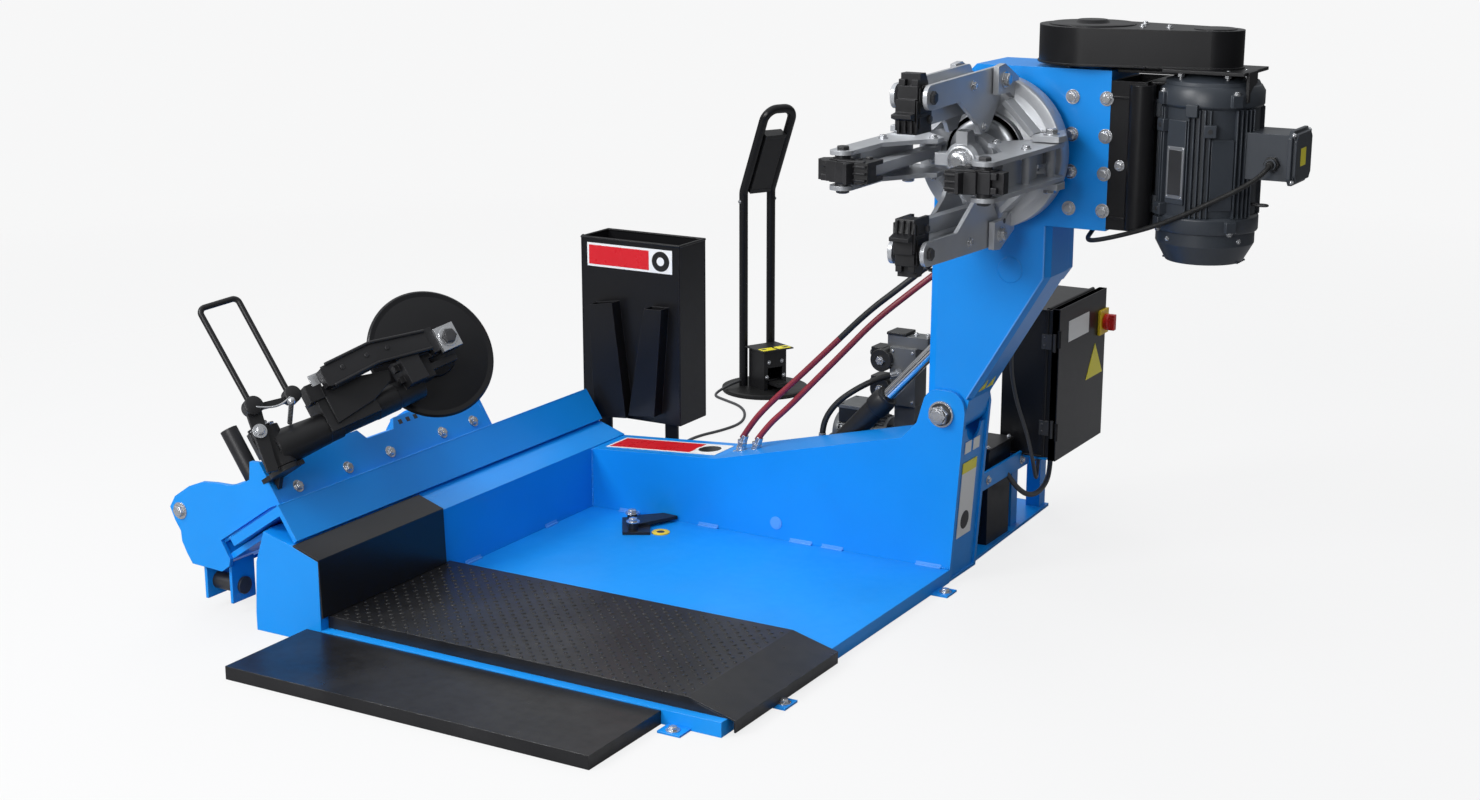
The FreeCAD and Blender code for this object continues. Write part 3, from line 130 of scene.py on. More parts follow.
def surface(name, color, second, rough=(0.3, 0.45), metal=0.0, grain=900.0, depth=0.05, brush=None,
            wear_and_highlight=None, dust=None, edge=0.0018, coat=0.0, gloss=0.5):
    """A procedural finish. Two colours in clouds, dust in patches, wear and painted edge highlight (a colour
    and its share) along the edges, roughness between two values, and a grain or a brushed bump."""
    material = bpy.data.materials.new(name)
    material.use_nodes = True
    tree = material.node_tree
    shader = tree.nodes["Principled BSDF"]
    link = tree.links.new
    place = node(tree, "ShaderNodeTexCoord").outputs["Object"]
    cloudy = noise(tree, place, CLOUD_SCALE, 2.0)
    colour = mix(tree, ramp(tree, cloudy, 0, 1, 0.35, 0.68), color, second)
    fine = noise(tree, place, FINE_SCALE, 2.0, 0.5)
    if dust:
        patches = ramp(tree, noise(tree, place, DUST_SCALE, 3.0), 0, 1, 0.5, 0.72)
        colour = mix(tree, math_node(tree, "MULTIPLY", patches, 0.35), colour, dust)
    if edge:
        edges = node(tree, "ShaderNodeBevel", samples=4)
        edges.inputs["Radius"].default_value = edge
    if wear_and_highlight:
        flat = node(tree, "ShaderNodeNewGeometry")
        angle = node(tree, "ShaderNodeVectorMath", operation="DOT_PRODUCT")
        link(flat.outputs["Normal"], angle.inputs[0])
        link(edges.outputs[0], angle.inputs[1])
        # lighter colour along the edges: partly real wear, partly painted highlight where rounded edges
        # catch the light
        worn_and_lit_edges = ramp(tree, angle.outputs["Value"], 1.0, 0.0, 0.9, 0.995)
        patchy = ramp(tree, noise(tree, place, EDGE_PATCH_SCALE, 7.0), 0, 1, 0.42, 0.62)
        mask = math_node(tree, "MULTIPLY", math_node(tree, "MULTIPLY", worn_and_lit_edges, patchy), wear_and_highlight[3])
        colour = mix(tree, mask, colour, wear_and_highlight[:3])
    link(colour, shader.inputs["Base Color"])
    link(ramp(tree, fine, *rough, 0.2, 0.8), shader.inputs["Roughness"])
    for socket, value in (("Metallic", metal), ("Specular IOR Level", gloss), ("Coat Weight", coat),
                          ("Coat Roughness", 0.12)):
        shader.inputs[socket].default_value = value
    if brush:
        stretched = node(tree, "ShaderNodeMapping")
        stretched.inputs["Scale"].default_value = brush
        link(place, stretched.inputs["Vector"])
        height = noise(tree, stretched.outputs[0], 1.0, 4.0)
    else:
        height = noise(tree, place, grain, 3.0)
    bump = node(tree, "ShaderNodeBump", Strength=depth, Distance=0.002)
    link(height, bump.inputs["Height"])
    if edge:
        link(edges.outputs[0], bump.inputs["Normal"])
    link(bump.outputs[0], shader.inputs["Normal"])
    return material


# The pale blue given for the edges of the blue enamels is painted edge highlight, laid in wear-like patches.
BLUE = surface("blue_enamel", (0.005, 0.255, 0.76), (0.004, 0.24, 0.73), (0.29, 0.33), grain=420.0,
               depth=0.012, wear_and_highlight=(0.26, 0.55, 0.9, 0.35), gloss=0.35, coat=0.08)
BLUE_FLOOR = surface("blue_floor_enamel", (0.006, 0.27, 0.79), (0.005, 0.25, 0.74), (0.35, 0.42),
                     grain=300.0, depth=0.02, wear_and_highlight=(0.26, 0.55, 0.9, 0.35), dust=(0.02, 0.27, 0.78),
                     gloss=0.35)
# Pale blue for the weld tabs, and as painted highlight on the arm's folds.
BLUE_PALE = surface("blue_weld_and_fold_highlight_enamel", (0.1, 0.34, 0.8), (0.08, 0.31, 0.76), (0.3, 0.36),
                    grain=420.0, depth=0.012, edge=0.0, gloss=0.35)
BLACK = surface("black_powder_coat", (0.009, 0.009, 0.01), (0.012, 0.012, 0.013), (0.36, 0.42),
                grain=700.0, depth=0.03, wear_and_highlight=(0.09, 0.09, 0.1, 0.5), gloss=0.35)
BLACK_TREAD = surface("black_tread_coat", (0.006, 0.006, 0.007), (0.012, 0.012, 0.013), (0.26, 0.4),
                      grain=500.0, depth=0.04, wear_and_highlight=(0.16, 0.16, 0.16, 0.6), dust=(0.02, 0.02, 0.022),
                      gloss=0.4)
BLACK_SHEET = surface("black_sheet_coat", (0.007, 0.007, 0.008), (0.009, 0.009, 0.01), (0.28, 0.31),
                      grain=260.0, depth=0.012, wear_and_highlight=(0.07, 0.07, 0.08, 0.4), gloss=0.3)
SILVER = surface("silver_plate", (0.5, 0.515, 0.54), (0.42, 0.435, 0.46), (0.3, 0.38), metal=0.45,
                 depth=0.02, brush=(160.0, 14.0, 160.0), wear_and_highlight=(0.75, 0.76, 0.78, 0.6))
TURNED = surface("turned_steel", (0.36, 0.37, 0.39), (0.28, 0.29, 0.31), (0.26, 0.34), metal=0.7,
                 depth=0.03, brush=(40.0, 400.0, 40.0), wear_and_highlight=(0.7, 0.7, 0.72, 0.5))
ZINC = surface("zinc_plate", (0.56, 0.57, 0.59), (0.5, 0.51, 0.53), (0.22, 0.28), metal=0.85,
               grain=300.0, depth=0.006, edge=0.0008, wear_and_highlight=(0.85, 0.85, 0.85, 0.3))
# Blackened steel for real dark parts; also used as painted shade in holes, slots and gaps.
DARK_STEEL_AND_SHADE = surface("blackened_steel_and_painted_shade", (0.035, 0.036, 0.038), (0.06, 0.06, 0.064), (0.28, 0.42),
                     metal=0.4, grain=800.0, depth=0.03, edge=0.001, wear_and_highlight=(0.3, 0.3, 0.3, 0.4))
CAST = surface("black_casting", (0.008, 0.008, 0.009), (0.014, 0.014, 0.016), (0.36, 0.52),
               grain=220.0, depth=0.1, wear_and_highlight=(0.12, 0.12, 0.13, 0.6), edge=0.002, gloss=0.4)
CHROME = surface("hard_chrome", (0.74, 0.75, 0.76), (0.66, 0.67, 0.69), (0.05, 0.14), metal=1.0,
                 depth=0.006)
MOTOR = surface("motor_enamel", (0.031, 0.037, 0.046), (0.037, 0.043, 0.053), (0.34, 0.4),
                grain=240.0, depth=0.04, wear_and_highlight=(0.14, 0.16, 0.19, 0.5), gloss=0.4)
PUMP = surface("grey_casting", (0.09, 0.095, 0.1), (0.14, 0.145, 0.15), (0.32, 0.46), metal=0.5,
               grain=300.0, wear_and_highlight=(0.4, 0.4, 0.4, 0.5))
PLASTIC = surface("black_moulding", (0.01, 0.01, 0.01), (0.015, 0.015, 0.015), (0.28, 0.38),
                  depth=0.03, edge=0.001, gloss=0.4)
RED = surface("red_moulding", (0.62, 0.018, 0.014), (0.52, 0.014, 0.012), (0.2, 0.32), depth=0.02,
              edge=0.001, coat=0.2)
YELLOW = surface("yellow_moulding", (0.86, 0.62, 0.02), (0.8, 0.56, 0.02), (0.26, 0.4), depth=0.02,
                 edge=0.001)
RUBBER = surface("black_rubber", (0.01, 0.01, 0.01), (0.016, 0.016, 0.016), (0.4, 0.52), edge=0.0,
                 gloss=0.35)
RED_HOSE = surface("red_hose_sleeve", (0.16, 0.01, 0.02), (0.24, 0.016, 0.028), (0.34, 0.46),
                   edge=0.0)
CABLE = surface("grey_cable", (0.045, 0.046, 0.05), (0.065, 0.066, 0.07), (0.4, 0.52), edge=0.0)
BELT = surface("belt_fabric", (0.018, 0.018, 0.018), (0.03, 0.03, 0.03), (0.6, 0.75), depth=0.15,
               edge=0.0008)
LABEL_WHITE = surface("white_label", (0.82, 0.82, 0.81), (0.76, 0.76, 0.75), (0.3, 0.4), depth=0.01,
                      edge=0.0)
LABEL_RED = surface("red_label", (0.66, 0.012, 0.022), (0.6, 0.01, 0.018), (0.24, 0.34), depth=0.01,
                    edge=0.0)
LABEL_YELLOW = surface("yellow_label", (0.88, 0.78, 0.03), (0.84, 0.74, 0.03), (0.28, 0.4), depth=0.01,
                       edge=0.0)

FINISHES = (
    (BLUE_FLOOR, "platform_plate"),
    (BLUE, "anchor_brackets side_beam guide_rail rear_wall rear_base_plate arm_beam carriage_frame"),
    (BLACK_TREAD, "tread_plate front_ramp"),
    (BLACK, "wheel_stop oil_tank pedestal_base control_panel foot_pedal lift_cylinder lift_handle"),
    (BLACK_SHEET, "beam_cover cabinet_body cabinet_door tool_box pedestal_frame motor_bracket "
                  "belt_guard bead_disc"),
    (SILVER, "chuck_body spider clamp_arm clamp_link"),
    (CAST, "tool_post tool_arm tool_hook clamp_jaw"),
    (TURNED, "motor_shaft worm_shaft"),
    (ZINC, "arm_pivot_pin hose_unions"),
    (RED, "main_switch joystick_right"),
    (PLASTIC, "joystick_left"), (PUMP, "valve_block"), (MOTOR, "motor_body"), (BELT, "drive_belt"),
    (CHROME, "lift_rod"),
)
for finish, names in FINISHES:
    for node_name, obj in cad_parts.items():
        if node_name.startswith(tuple(names.split())):
            obj.data.materials.clear()
            obj.data.materials.append(finish)


# ---------------------------------------------------------------- mesh tools
RIGHT, LEFT, FRONT, BACK, UP, DOWN = (1, 0, 0), (-1, 0, 0), (0, -1, 0), (0, 1, 0), (0, 0, 1), (0, 0, -1)


class Piece:
    """Collects simple solids in one mesh, in a frame of its own, each with the material then in use."""

    def __init__(self, name, material, place=Matrix()):
        self.name = name
        self.mesh = bmesh.new()
        self.place = place
        self.materials = []
        self.use(material)

    def use(self, material):
        if material not in self.materials:
            self.materials.append(material)
        self.current = self.materials.index(material)

    def at(self, place):
        self.place = place
        return self

    def skin(self, rings, place=Matrix(), hollow=False):
        """Joins rings of points into a closed skin, with capped ends or, if hollow, as a ring."""
        made = [[self.mesh.verts.new(place @ spot) for spot in ring] for ring in rings]
        faces = [] if hollow else [tuple(reversed(made[0])), tuple(made[-1])]
        count = len(made[0])
        for first, second in zip(made, made[1:] + (made[:1] if hollow else [])):
            for step in range(count):
                after = (step + 1) % count
                faces.append((first[step], first[after], second[after], second[step]))
        for corners in faces:
            self.mesh.faces.new(corners).material_index = self.current

    def box(self, low, high):
        (x0, y0, z0), (x1, y1, z1) = low, high
        corners = ((x0, y0), (x1, y0), (x1, y1), (x0, y1))
        self.skin([[Vector((x, y, z)) for x, y in corners] for z in (z0, z1)], self.place)

    def prism(self, outline, level, thickness):
        """Pads an outline given in the frame's x and y, along its z."""
        levels = (level, level + thickness)
        self.skin([[Vector((u, v, height)) for u, v in outline] for height in levels], self.place)

    def turned(self, outline, start, axis, sides=48, hollow=False):
        """Revolves (radius, distance) pairs about the line from start along axis."""
        way = self.place.to_3x3() @ Vector(axis)
        turn = Vector(UP).rotation_difference(way).to_matrix().to_4x4()
        self.skin(circles(outline, sides), Matrix.Translation(self.place @ Vector(start)) @ turn, hollow)

    def rod(self, start, end, radius, sides=24, end_radius=None):
        start, axis = Vector(start), Vector(end) - Vector(start)
        far = radius if end_radius is None else end_radius
        self.turned([(radius, 0.0), (far, axis.length)], start, axis, sides)

    def ball(self, centre, radius, rows=10):
        turns = [math.pi * min(max(row / rows, 0.01), 0.99) for row in range(rows + 1)]
        outline = [(radius * math.sin(turn), -radius * math.cos(turn)) for turn in turns]
        self.skin(circles(outline, 20), Matrix.Translation(self.place @ Vector(centre)))

    def bolt(self, spot, axis, across=0.009, head=0.008, washer=0.0, collar=0.0022):
        """A hexagon head with a chamfered top on a washer."""
        spot, axis = Vector(spot), Vector(axis).normalized()
        if washer:
            self.rod(spot - axis * 0.001, spot + axis * collar, washer, 28)
        base = spot + axis * (collar if washer else -0.001)
        top = base + axis * head
        neck = top - axis * head * 0.15
        self.rod(base, neck, across, 6)
        self.rod(neck, top, across * 0.99, 6, across * 0.86)
        self.rod(top - axis * 0.0002, top + axis * 0.0006, across * 0.62, 20)

    def made(self, angle=35):
        bmesh.ops.recalc_face_normals(self.mesh, faces=self.mesh.faces[:])
        obj = mesh_object(self.name, self.mesh, self.materials)
        smooth(obj, angle)
        return obj

    def done(self, body, bevel=0.0, segments=2, angle=35):
        obj = self.made(angle)
        if bevel:
            rounding = obj.modifiers.new("rounding", "BEVEL")
            rounding.width = bevel
            rounding.segments = segments
            rounding.limit_method = "ANGLE"
            rounding.angle_limit = math.radians(40)
        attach(obj, body)
        return obj


def circles(outline, sides):
    turns = [2 * math.pi * step / sides for step in range(sides)]
    return [[Vector((radius * math.cos(turn), radius * math.sin(turn), level)) for turn in turns]
            for radius, level in outline]


def mesh_object(name, mesh, materials):
    data = bpy.data.meshes.new(name)
    mesh.to_mesh(data)
    mesh.free()
    for material in materials:
        data.materials.append(material)
    return add_object(name, data)


def smooth(obj, angle):
    """Smooth faces with sharp edges above an angle."""
    mesh = bmesh.new()
    mesh.from_mesh(obj.data)
    for face in mesh.faces:
        face.smooth = True
    for edge in mesh.edges:
        edge.smooth = len(edge.link_faces) == 2 and edge.calc_face_angle(0) < math.radians(angle)
    mesh.to_mesh(obj.data)
    mesh.free()


# ---------------------------------------------------------------- cords
def spline(name, points):
    data = bpy.data.curves.new(name, "CURVE")
    data.dimensions = "3D"
    data.resolution_u = 12
    line = data.splines.new("NURBS")
    line.points.add(len(points) - 1)
    for point, spot in zip(line.points, points):
        point.co = (*spot, 1.0)
    line.order_u = 3
    line.use_endpoint_u = True
    return add_object(name, data)


def read_line(points):
    """The smooth line's own points, in order."""
    guide = spline("guide", points)
    mesh = bpy.data.meshes.new_from_object(guide)
    spots = [vert.co.copy() for vert in mesh.vertices]
    bpy.data.meshes.remove(mesh)
    bpy.data.objects.remove(guide)
    return spots


def tube(name, line, radius, materials, pick=None, sides=20, wave=None):
    """A mesh tube that follows a line; pick gives the material of each ring of faces."""
    mesh = bmesh.new()
    rings = []
    normal = None
    travelled = 0.0
    for index, spot in enumerate(line):
        before = line[max(index - 1, 0)]
        after = line[min(index + 1, len(line) - 1)]
        along = (after - before).normalized()
        if normal is None:
            normal = along.orthogonal().normalized()
        normal = (normal - along * normal.dot(along)).normalized()
        side = along.cross(normal)
        travelled += (spot - before).length if index else 0.0
        size = radius if wave is None else wave(travelled)
        turns = [2 * math.pi * step / sides for step in range(sides)]
        rings.append([mesh.verts.new(spot + (normal * math.cos(turn) + side * math.sin(turn)) * size)
                      for turn in turns])
    last = len(rings) - 2
    for index, (first, second) in enumerate(zip(rings, rings[1:])):
        for step in range(sides):
            following = (step + 1) % sides
            face = mesh.faces.new((first[step], first[following], second[following], second[step]))
            face.material_index = pick(index / last) if pick else 0
    mesh.faces.new(list(reversed(rings[0])))
    mesh.faces.new(rings[-1])
    bmesh.ops.recalc_face_normals(mesh, faces=mesh.faces[:])
    for face in mesh.faces:
        face.smooth = True
    return mesh_object(name, mesh, materials)


def fine_line(line, step):
    """The same line with points every step, for a corrugated tube."""
    spots = [line[0]]
    for before, after in zip(line, line[1:]):
        count = max(1, round((after - before).length / step))
        for number in range(1, count + 1):
            spots.append(before.lerp(after, number / count))
    return spots


HOSE_ONE = [
    (-0.0933, 0.6414, 0.2665), (-0.066, 0.646, 0.312), (-0.022, 0.655, 0.364),
    (0.052, 0.664, 0.436), (0.15, 0.68, 0.536), (0.244, 0.696, 0.634), (0.33, 0.715, 0.706),
    (0.41, 0.745, 0.778), (0.5, 0.778, 0.856), (0.58, 0.8, 0.93), (0.622, 0.809, 0.99),
    (0.63, 0.807, 1.0404),
]
HOSE_TWO = [
    (-0.0488, 0.6419, 0.2668), (-0.02, 0.65, 0.31), (0.032, 0.66, 0.36), (0.095, 0.668, 0.428),
    (0.18, 0.682, 0.52), (0.262, 0.7, 0.612), (0.35, 0.722, 0.69), (0.44, 0.752, 0.768),
    (0.54, 0.784, 0.85), (0.63, 0.804, 0.93), (0.668, 0.809, 0.985), (0.674, 0.807, 1.041),
]
CONSOLE_CABLE = [
    (-0.8848, 1.9972, 0.032), (-0.892, 1.96, 0.03), (-0.905, 1.925, 0.022),
    (-0.918, 1.893, 0.009), (-0.905, 1.862, 0.005), (-0.85, 1.835, 0.005), (-0.77, 1.795, 0.005),
    (-0.705, 1.72, 0.005), (-0.656, 1.61, 0.005), (-0.664, 1.51, 0.005), (-0.7, 1.4, 0.005),
    (-0.69, 1.29, 0.005), (-0.6, 1.18, 0.005), (-0.48, 1.11, 0.005), (-0.39, 1.07, 0.006),
    (-0.32, 1.04, 0.0145), (-0.2, 0.99, 0.015), (-0.1, 0.955, 0.018), (-0.038, 0.932, 0.048),
    (-0.01, 0.918, 0.105), (-0.006, 0.912, 0.17), (0.016, 0.91, 0.224), (0.0636, 0.91, 0.249),
]
VALVE_HOSE = [
    (0.088, 0.75, 0.2625), (0.088, 0.751, 0.292), (0.098, 0.757, 0.328), (0.122, 0.769, 0.364),
    (0.16, 0.785, 0.396), (0.205, 0.81, 0.424), (0.238, 0.838, 0.436), (0.253, 0.8615, 0.4378),
]
ARM_CABLE = [
    (0.716, 0.7564, 0.85), (0.712, 0.79, 0.842), (0.68, 0.8, 0.77), (0.64, 0.81, 0.69),
    (0.598, 0.826, 0.6), (0.574, 0.85, 0.51), (0.572, 0.9, 0.4), (0.586, 0.95, 0.3),
    (0.59, 0.99, 0.21), (0.578, 1.04, 0.15), (0.562, 1.09, 0.15), (0.556, 1.111, 0.208),
]
MOTOR_CABLE = [
    (1.29, 0.5836, 1.0984), (1.288, 0.565, 1.088), (1.265, 0.552, 1.066), (1.225, 0.548, 1.04),
    (1.17, 0.546, 1.01), (1.105, 0.547, 0.975), (1.04, 0.549, 0.945), (0.975, 0.552, 0.922),
    (0.92, 0.556, 0.905), (0.882, 0.566, 0.896), (0.868, 0.59, 0.899), (0.866, 0.616, 0.906),
    (0.866, 0.635, 0.9144),
]
CABINET_CABLE = [
    (0.5238, 0.9302, 0.1984), (0.54, 0.932, 0.19), (0.56, 0.95, 0.15), (0.572, 1.0, 0.115),
    (0.575, 1.07, 0.104), (0.572, 1.14, 0.12), (0.562, 1.18, 0.155), (0.56, 1.184, 0.185),
    (0.56, 1.18, 0.2086),
]


def plain_cord(name, points, diameter):
    obj = spline(name + "_skin", points)
    obj.data.bevel_depth = diameter / 2
    obj.data.bevel_resolution = 5
    obj.data.use_fill_caps = True
    obj.data.materials.append(CABLE)
    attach(obj, "base")
    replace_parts(obj, name)


def arm_cord(name, points, diameter, materials, red=0.0):
    """A hose laid from the base towards another body as a fixed mesh; its first share may have a red sleeve.
    """
    line = read_line(points)
    obj = tube(name + "_skin", line, diameter / 2, materials, lambda share: 1 if share < red else 0)
    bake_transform(obj)
    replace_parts(obj, name)
    return line


one = arm_cord("hose_one", HOSE_ONE, 0.016, (RUBBER, RED_HOSE),
               red=0.37)
two = arm_cord("hose_two", HOSE_TWO, 0.016, (RUBBER, RED_HOSE),
               red=0.66)
arm_cord("arm_cable", ARM_CABLE, 0.01, (CABLE,))
arm_cord("valve_hose", VALVE_HOSE, 0.016, (RUBBER,))
plain_cord("console_cable", CONSOLE_CABLE, 0.009)
plain_cord("cabinet_cable", CABINET_CABLE, 0.014)

RIB_PITCH, RIB_HEIGHT, CABLE_RADIUS = 0.004, 0.0008, 0.0055


def corrugated(travelled):
    """Ribs 4 mm apart on the first half of the motor's cable, plain after it."""
    if travelled > 0.3 or travelled < 0.02:
        return CABLE_RADIUS
    return CABLE_RADIUS + RIB_HEIGHT * math.sin(2 * math.pi * travelled / RIB_PITCH)


motor_line = fine_line(read_line(MOTOR_CABLE), 0.001)
motor_cable = tube("motor_cable_skin", motor_line, 0.006, (RUBBER,), None, 16, corrugated)
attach(motor_cable, "swing_arm")
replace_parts(motor_cable, "motor_cable")


# ---------------------------------------------------------------- bolts and arm head
def hex_bolts(name, body, spots, axis, across, head, washer, bevel=0.0004, place=Matrix()):
    piece = Piece(name, ZINC, place)
    for spot in spots:
        piece.bolt(spot, axis, across, head, washer)
    piece.done(body, bevel=bevel)


hex_bolts("head_bolts", "swing_arm",
          [(x, 0.575, z) for x in (0.825, 0.908) for z in (1.226, 1.14, 1.053, 0.967)],
          FRONT, 0.0125, 0.009, 0.017)
hex_bolts("bracket_bolt", "swing_arm", [(0.945, 0.575, 1.075)], FRONT, 0.009, 0.006, 0.0125)
hex_bolts("pivot_head_ring", "base", [(0.519, 0.5345, 0.432)], FRONT, 0.022, 0.002, 0.0)


def bracket_shell():
    """Rounded black housing between the arm's head and the motor, with pressed lines."""
    piece = Piece("bracket_shell", BLACK_SHEET)
    piece.rod((0.99, 0.583, 0.93), (0.99, 0.583, 1.262), 0.03, 40)
    piece.box((0.922, 0.5715, 0.95), (0.962, 0.576, 0.956))
    piece.box((0.922, 0.5715, 1.228), (0.962, 0.576, 1.234))
    piece.box((1.0, 0.6, 1.262), (1.06, 0.73, 1.268))
    piece.done("swing_arm", bevel=0.0012)


def arm_boss():
    """Shallow pressed disc on the arm's front face."""
    piece = Piece("arm_boss", BLUE)
    piece.turned([(0.032, -0.0008), (0.0318, 0.0006), (0.03, 0.0016), (0.012, 0.0018)],
                 (0.682, 0.575, 0.806), FRONT, 64)
    piece.done("swing_arm", angle=20)


def arm_fold_highlights():
    """Painted highlight: pale rods down the arm's right front folds for light on the rounded bends, and two
    yellow patches below them.
    """
    piece = Piece("arm_fold_highlights", BLUE_PALE)
    # painted highlight along the folds
    corners = [(0.767, 0.5752, 0.918), (0.767, 0.5752, 0.793), (0.578, 0.5752, 0.475)]
    for start, end in zip(corners, corners[1:]):
        piece.rod(start, end, 0.0022, 12)
        piece.ball(end, 0.0022)
    piece.done("swing_arm", angle=60)
    deep, along = Vector(BACK), Vector((0.777 - 0.585, 0, 0.793 - 0.47)).normalized()
    turn = Matrix((deep, along, deep.cross(along).normalized())).transposed().to_4x4()
    turn.translation = Vector((0.585, 0, 0.47))
    patch = Piece("arm_patches", LABEL_YELLOW, turn)
    for start in (0.606, 0.652):
        patch.prism([(start, 0.022), (start + 0.036, 0.022), (start + 0.018, 0.054)], -0.0004, 0.0014)
    patch.done("swing_arm", bevel=0.0002)


def pivot_shadow_rings():
    """Painted shadow: dark rings round the arm's pivot bolt head where shade falls in the gaps, and its
    domed end.
    """
    piece = Piece("pivot_shadow_rings", DARK_STEEL_AND_SHADE, Matrix.Translation((0.519, 0.5545, 0.432)))
    # painted shadow rings, at the wall face and at the head
    piece.rod((0, 0, 0), (0, -0.0008, 0), 0.0285, 48)
    piece.rod((0, -0.018, 0), (0, -0.0184, 0), 0.0208, 48)
    piece.use(TURNED)
    piece.rod((0, -0.0184, 0), (0, -0.02, 0), 0.019, 40, 0.0165)
    piece.done("base", bevel=0.0005)


bracket_shell()
arm_boss()
arm_fold_highlights()
pivot_shadow_rings()


# ---------------------------------------------------------------- motor
FACING_RIGHT = Matrix(((0, 0, 1, 0), (1, 0, 0, 0), (0, 1, 0, 0), (0, 0, 0, 1)))
MOTOR_X, MOTOR_Y = 1.125, 0.665
SHELL = 0.11
CORNERS = (-45, -135, 45, 135)
LUGS = ((-133, 1.176), (-133, 0.985), (-72, 1.17))


def about_motor(angle, radius, level):
    turn = math.radians(angle)
    return Vector((MOTOR_X + radius * math.cos(turn), MOTOR_Y + radius * math.sin(turn), level))


def upright_at(angle):
    """A frame on the motor's side: x outwards, y round it, z up."""
    turn = Matrix.Rotation(math.radians(angle), 4, "Z")
    return Matrix.Translation((MOTOR_X, MOTOR_Y, 0)) @ turn


def motor_fins():
    """Cooling fins all round, left out behind the feet, the plate and the lid; two flat seats."""
    piece = Piece("motor_fins", MOTOR)
    blocked = [(-128, -97), (-70, -44), (-18, 18), (162, 198)]
    for angle in range(-180, 180, 6):
        if not any(low < angle < high for low, high in blocked):
            piece.at(upright_at(angle)).box((SHELL - 0.002, -0.0016, 0.972), (SHELL + 0.0095, 0.0016, 1.216))
    for angle, low, high in ((-57, 0.99, 1.15), (-112, 1.0, 1.19)):
        piece.at(upright_at(angle)).box((SHELL - 0.004, -0.026, low), (SHELL + 0.004, 0.026, high))
    piece.done("swing_arm", bevel=0.0008, segments=1)


def motor_shields():
    """End shields with lugs, dark discs of painted shade for the lugs' holes, and the through bolts."""
    piece = Piece("motor_shields", MOTOR)
    low = [(0.09, 0.934), (0.1165, 0.934), (0.1185, 0.938), (0.1185, 0.968), (0.112, 0.974),
           (0.09, 0.974)]
    high = [(0.06, 1.216), (0.112, 1.216), (0.1185, 1.222), (0.1185, 1.252), (0.11, 1.266),
            (0.06, 1.28)]
    for outline in (low, high):
        piece.turned(outline, (MOTOR_X, MOTOR_Y, 0), UP, 72)
    for angle in CORNERS:
        piece.at(upright_at(angle)).box((0.104, -0.013, 0.94), (0.127, 0.013, 0.966))
        piece.box((0.104, -0.013, 1.222), (0.127, 0.013, 1.25))
    for angle, level in LUGS + ((-92, 1.214),):
        piece.at(upright_at(angle)).box((0.106, -0.014, level - 0.014), (0.128, 0.014, level + 0.014))
    piece.done("swing_arm", bevel=0.0018)
    # painted shade: flat dark discs where the lugs' holes would show dark
    dark = Piece("motor_lug_hole_shade", DARK_STEEL_AND_SHADE)
    for angle, level in LUGS:
        dark.at(upright_at(angle)).rod((0.126, 0, level), (0.1286, 0, level), 0.0055, 20)
    dark.done("swing_arm")
    bolts = Piece("motor_through_bolts", ZINC)
    for angle in CORNERS:
        for level, axis in ((1.25, UP), (0.94, DOWN)):
            bolts.bolt(about_motor(angle, 0.119, level), axis, 0.0065, 0.005, 0.0085)
    for angle in (-30, -120, 60, 150):
        spot = about_motor(angle, 0.1115, 0.918)
        bolts.bolt(spot, spot - Vector((MOTOR_X, MOTOR_Y, 0.918)), 0.0042, 0.003, 0.006)
    bolts.done("swing_arm")


def motor_plate():
    """Blank name plate on its raised seat, held by four drive rivets."""
    piece = Piece("motor_name_plate", TURNED, upright_at(-112))
    piece.box((SHELL + 0.0035, -0.024, 1.012), (SHELL + 0.0052, 0.024, 1.13))
    piece.use(DARK_STEEL_AND_SHADE)
    piece.box((SHELL + 0.005, -0.019, 1.02), (SHELL + 0.0056, 0.019, 1.122))
    piece.use(ZINC)
    for across in (-0.0212, 0.0212):
        for level in (1.016, 1.126):
            piece.ball((SHELL + 0.005, across, level), 0.0016)
    piece.done("swing_arm", bevel=0.0003)


def lifting_eye():
    piece = Piece("motor_eye", DARK_STEEL_AND_SHADE)
    turns = [2 * math.pi * step / 24 for step in range(25)]
    ring = [Vector((1.262 + 0.013 * math.cos(turn), 0.64 + 0.01 * math.sin(turn), 1.0)) for turn in turns]
    for first, second in zip(ring, ring[1:]):
        piece.rod(first, second, 0.0028, 10)
    piece.rod((1.236, 0.645, 1.0), (1.25, 0.643, 1.0), 0.004, 14)
    piece.done("swing_arm")


def terminal_lid():
    """Two-step lid of the terminal box with its screws, and the cable's gland."""
    piece = Piece("terminal_lid", MOTOR, FACING_RIGHT)
    low, high, near, far, corner = 1.052, 1.176, 0.598, 0.736, 0.016
    outline = [
        (near + corner, low), (far - corner, low), (far, low + corner), (far, high - corner),
        (far - corner, high), (near + corner, high), (near, high - corner), (near, low + corner),
    ]
    piece.prism(outline, 1.324, 0.01)
    piece.prism([(0.667 + (u - 0.667) * 0.88, 1.114 + (v - 1.114) * 0.88) for u, v in outline], 1.334, 0.009)
    piece.done("swing_arm", bevel=0.002, segments=3)
    trim = Piece("terminal_trim", ZINC)
    for y in (near + 0.01, far - 0.01):
        for z in (low + 0.01, high - 0.01):
            trim.bolt((1.334, y, z), RIGHT, 0.0042, 0.003, 0.0058)
    trim.use(LABEL_YELLOW)
    trim.box((1.3425, 0.64, 1.094), (1.3434, 0.68, 1.134))
    trim.done("swing_arm", bevel=0.0002)
    gland = Piece("motor_gland", PLASTIC)
    gland.rod((1.29, 0.607, 1.1), (1.29, 0.594, 1.1), 0.0175, 6)
    gland.rod((1.29, 0.596, 1.1), (1.29, 0.58, 1.098), 0.0135, 24, 0.0075)
    gland.done("swing_arm", bevel=0.0008)


motor_fins()
motor_shields()
motor_plate()
lifting_eye()
terminal_lid()


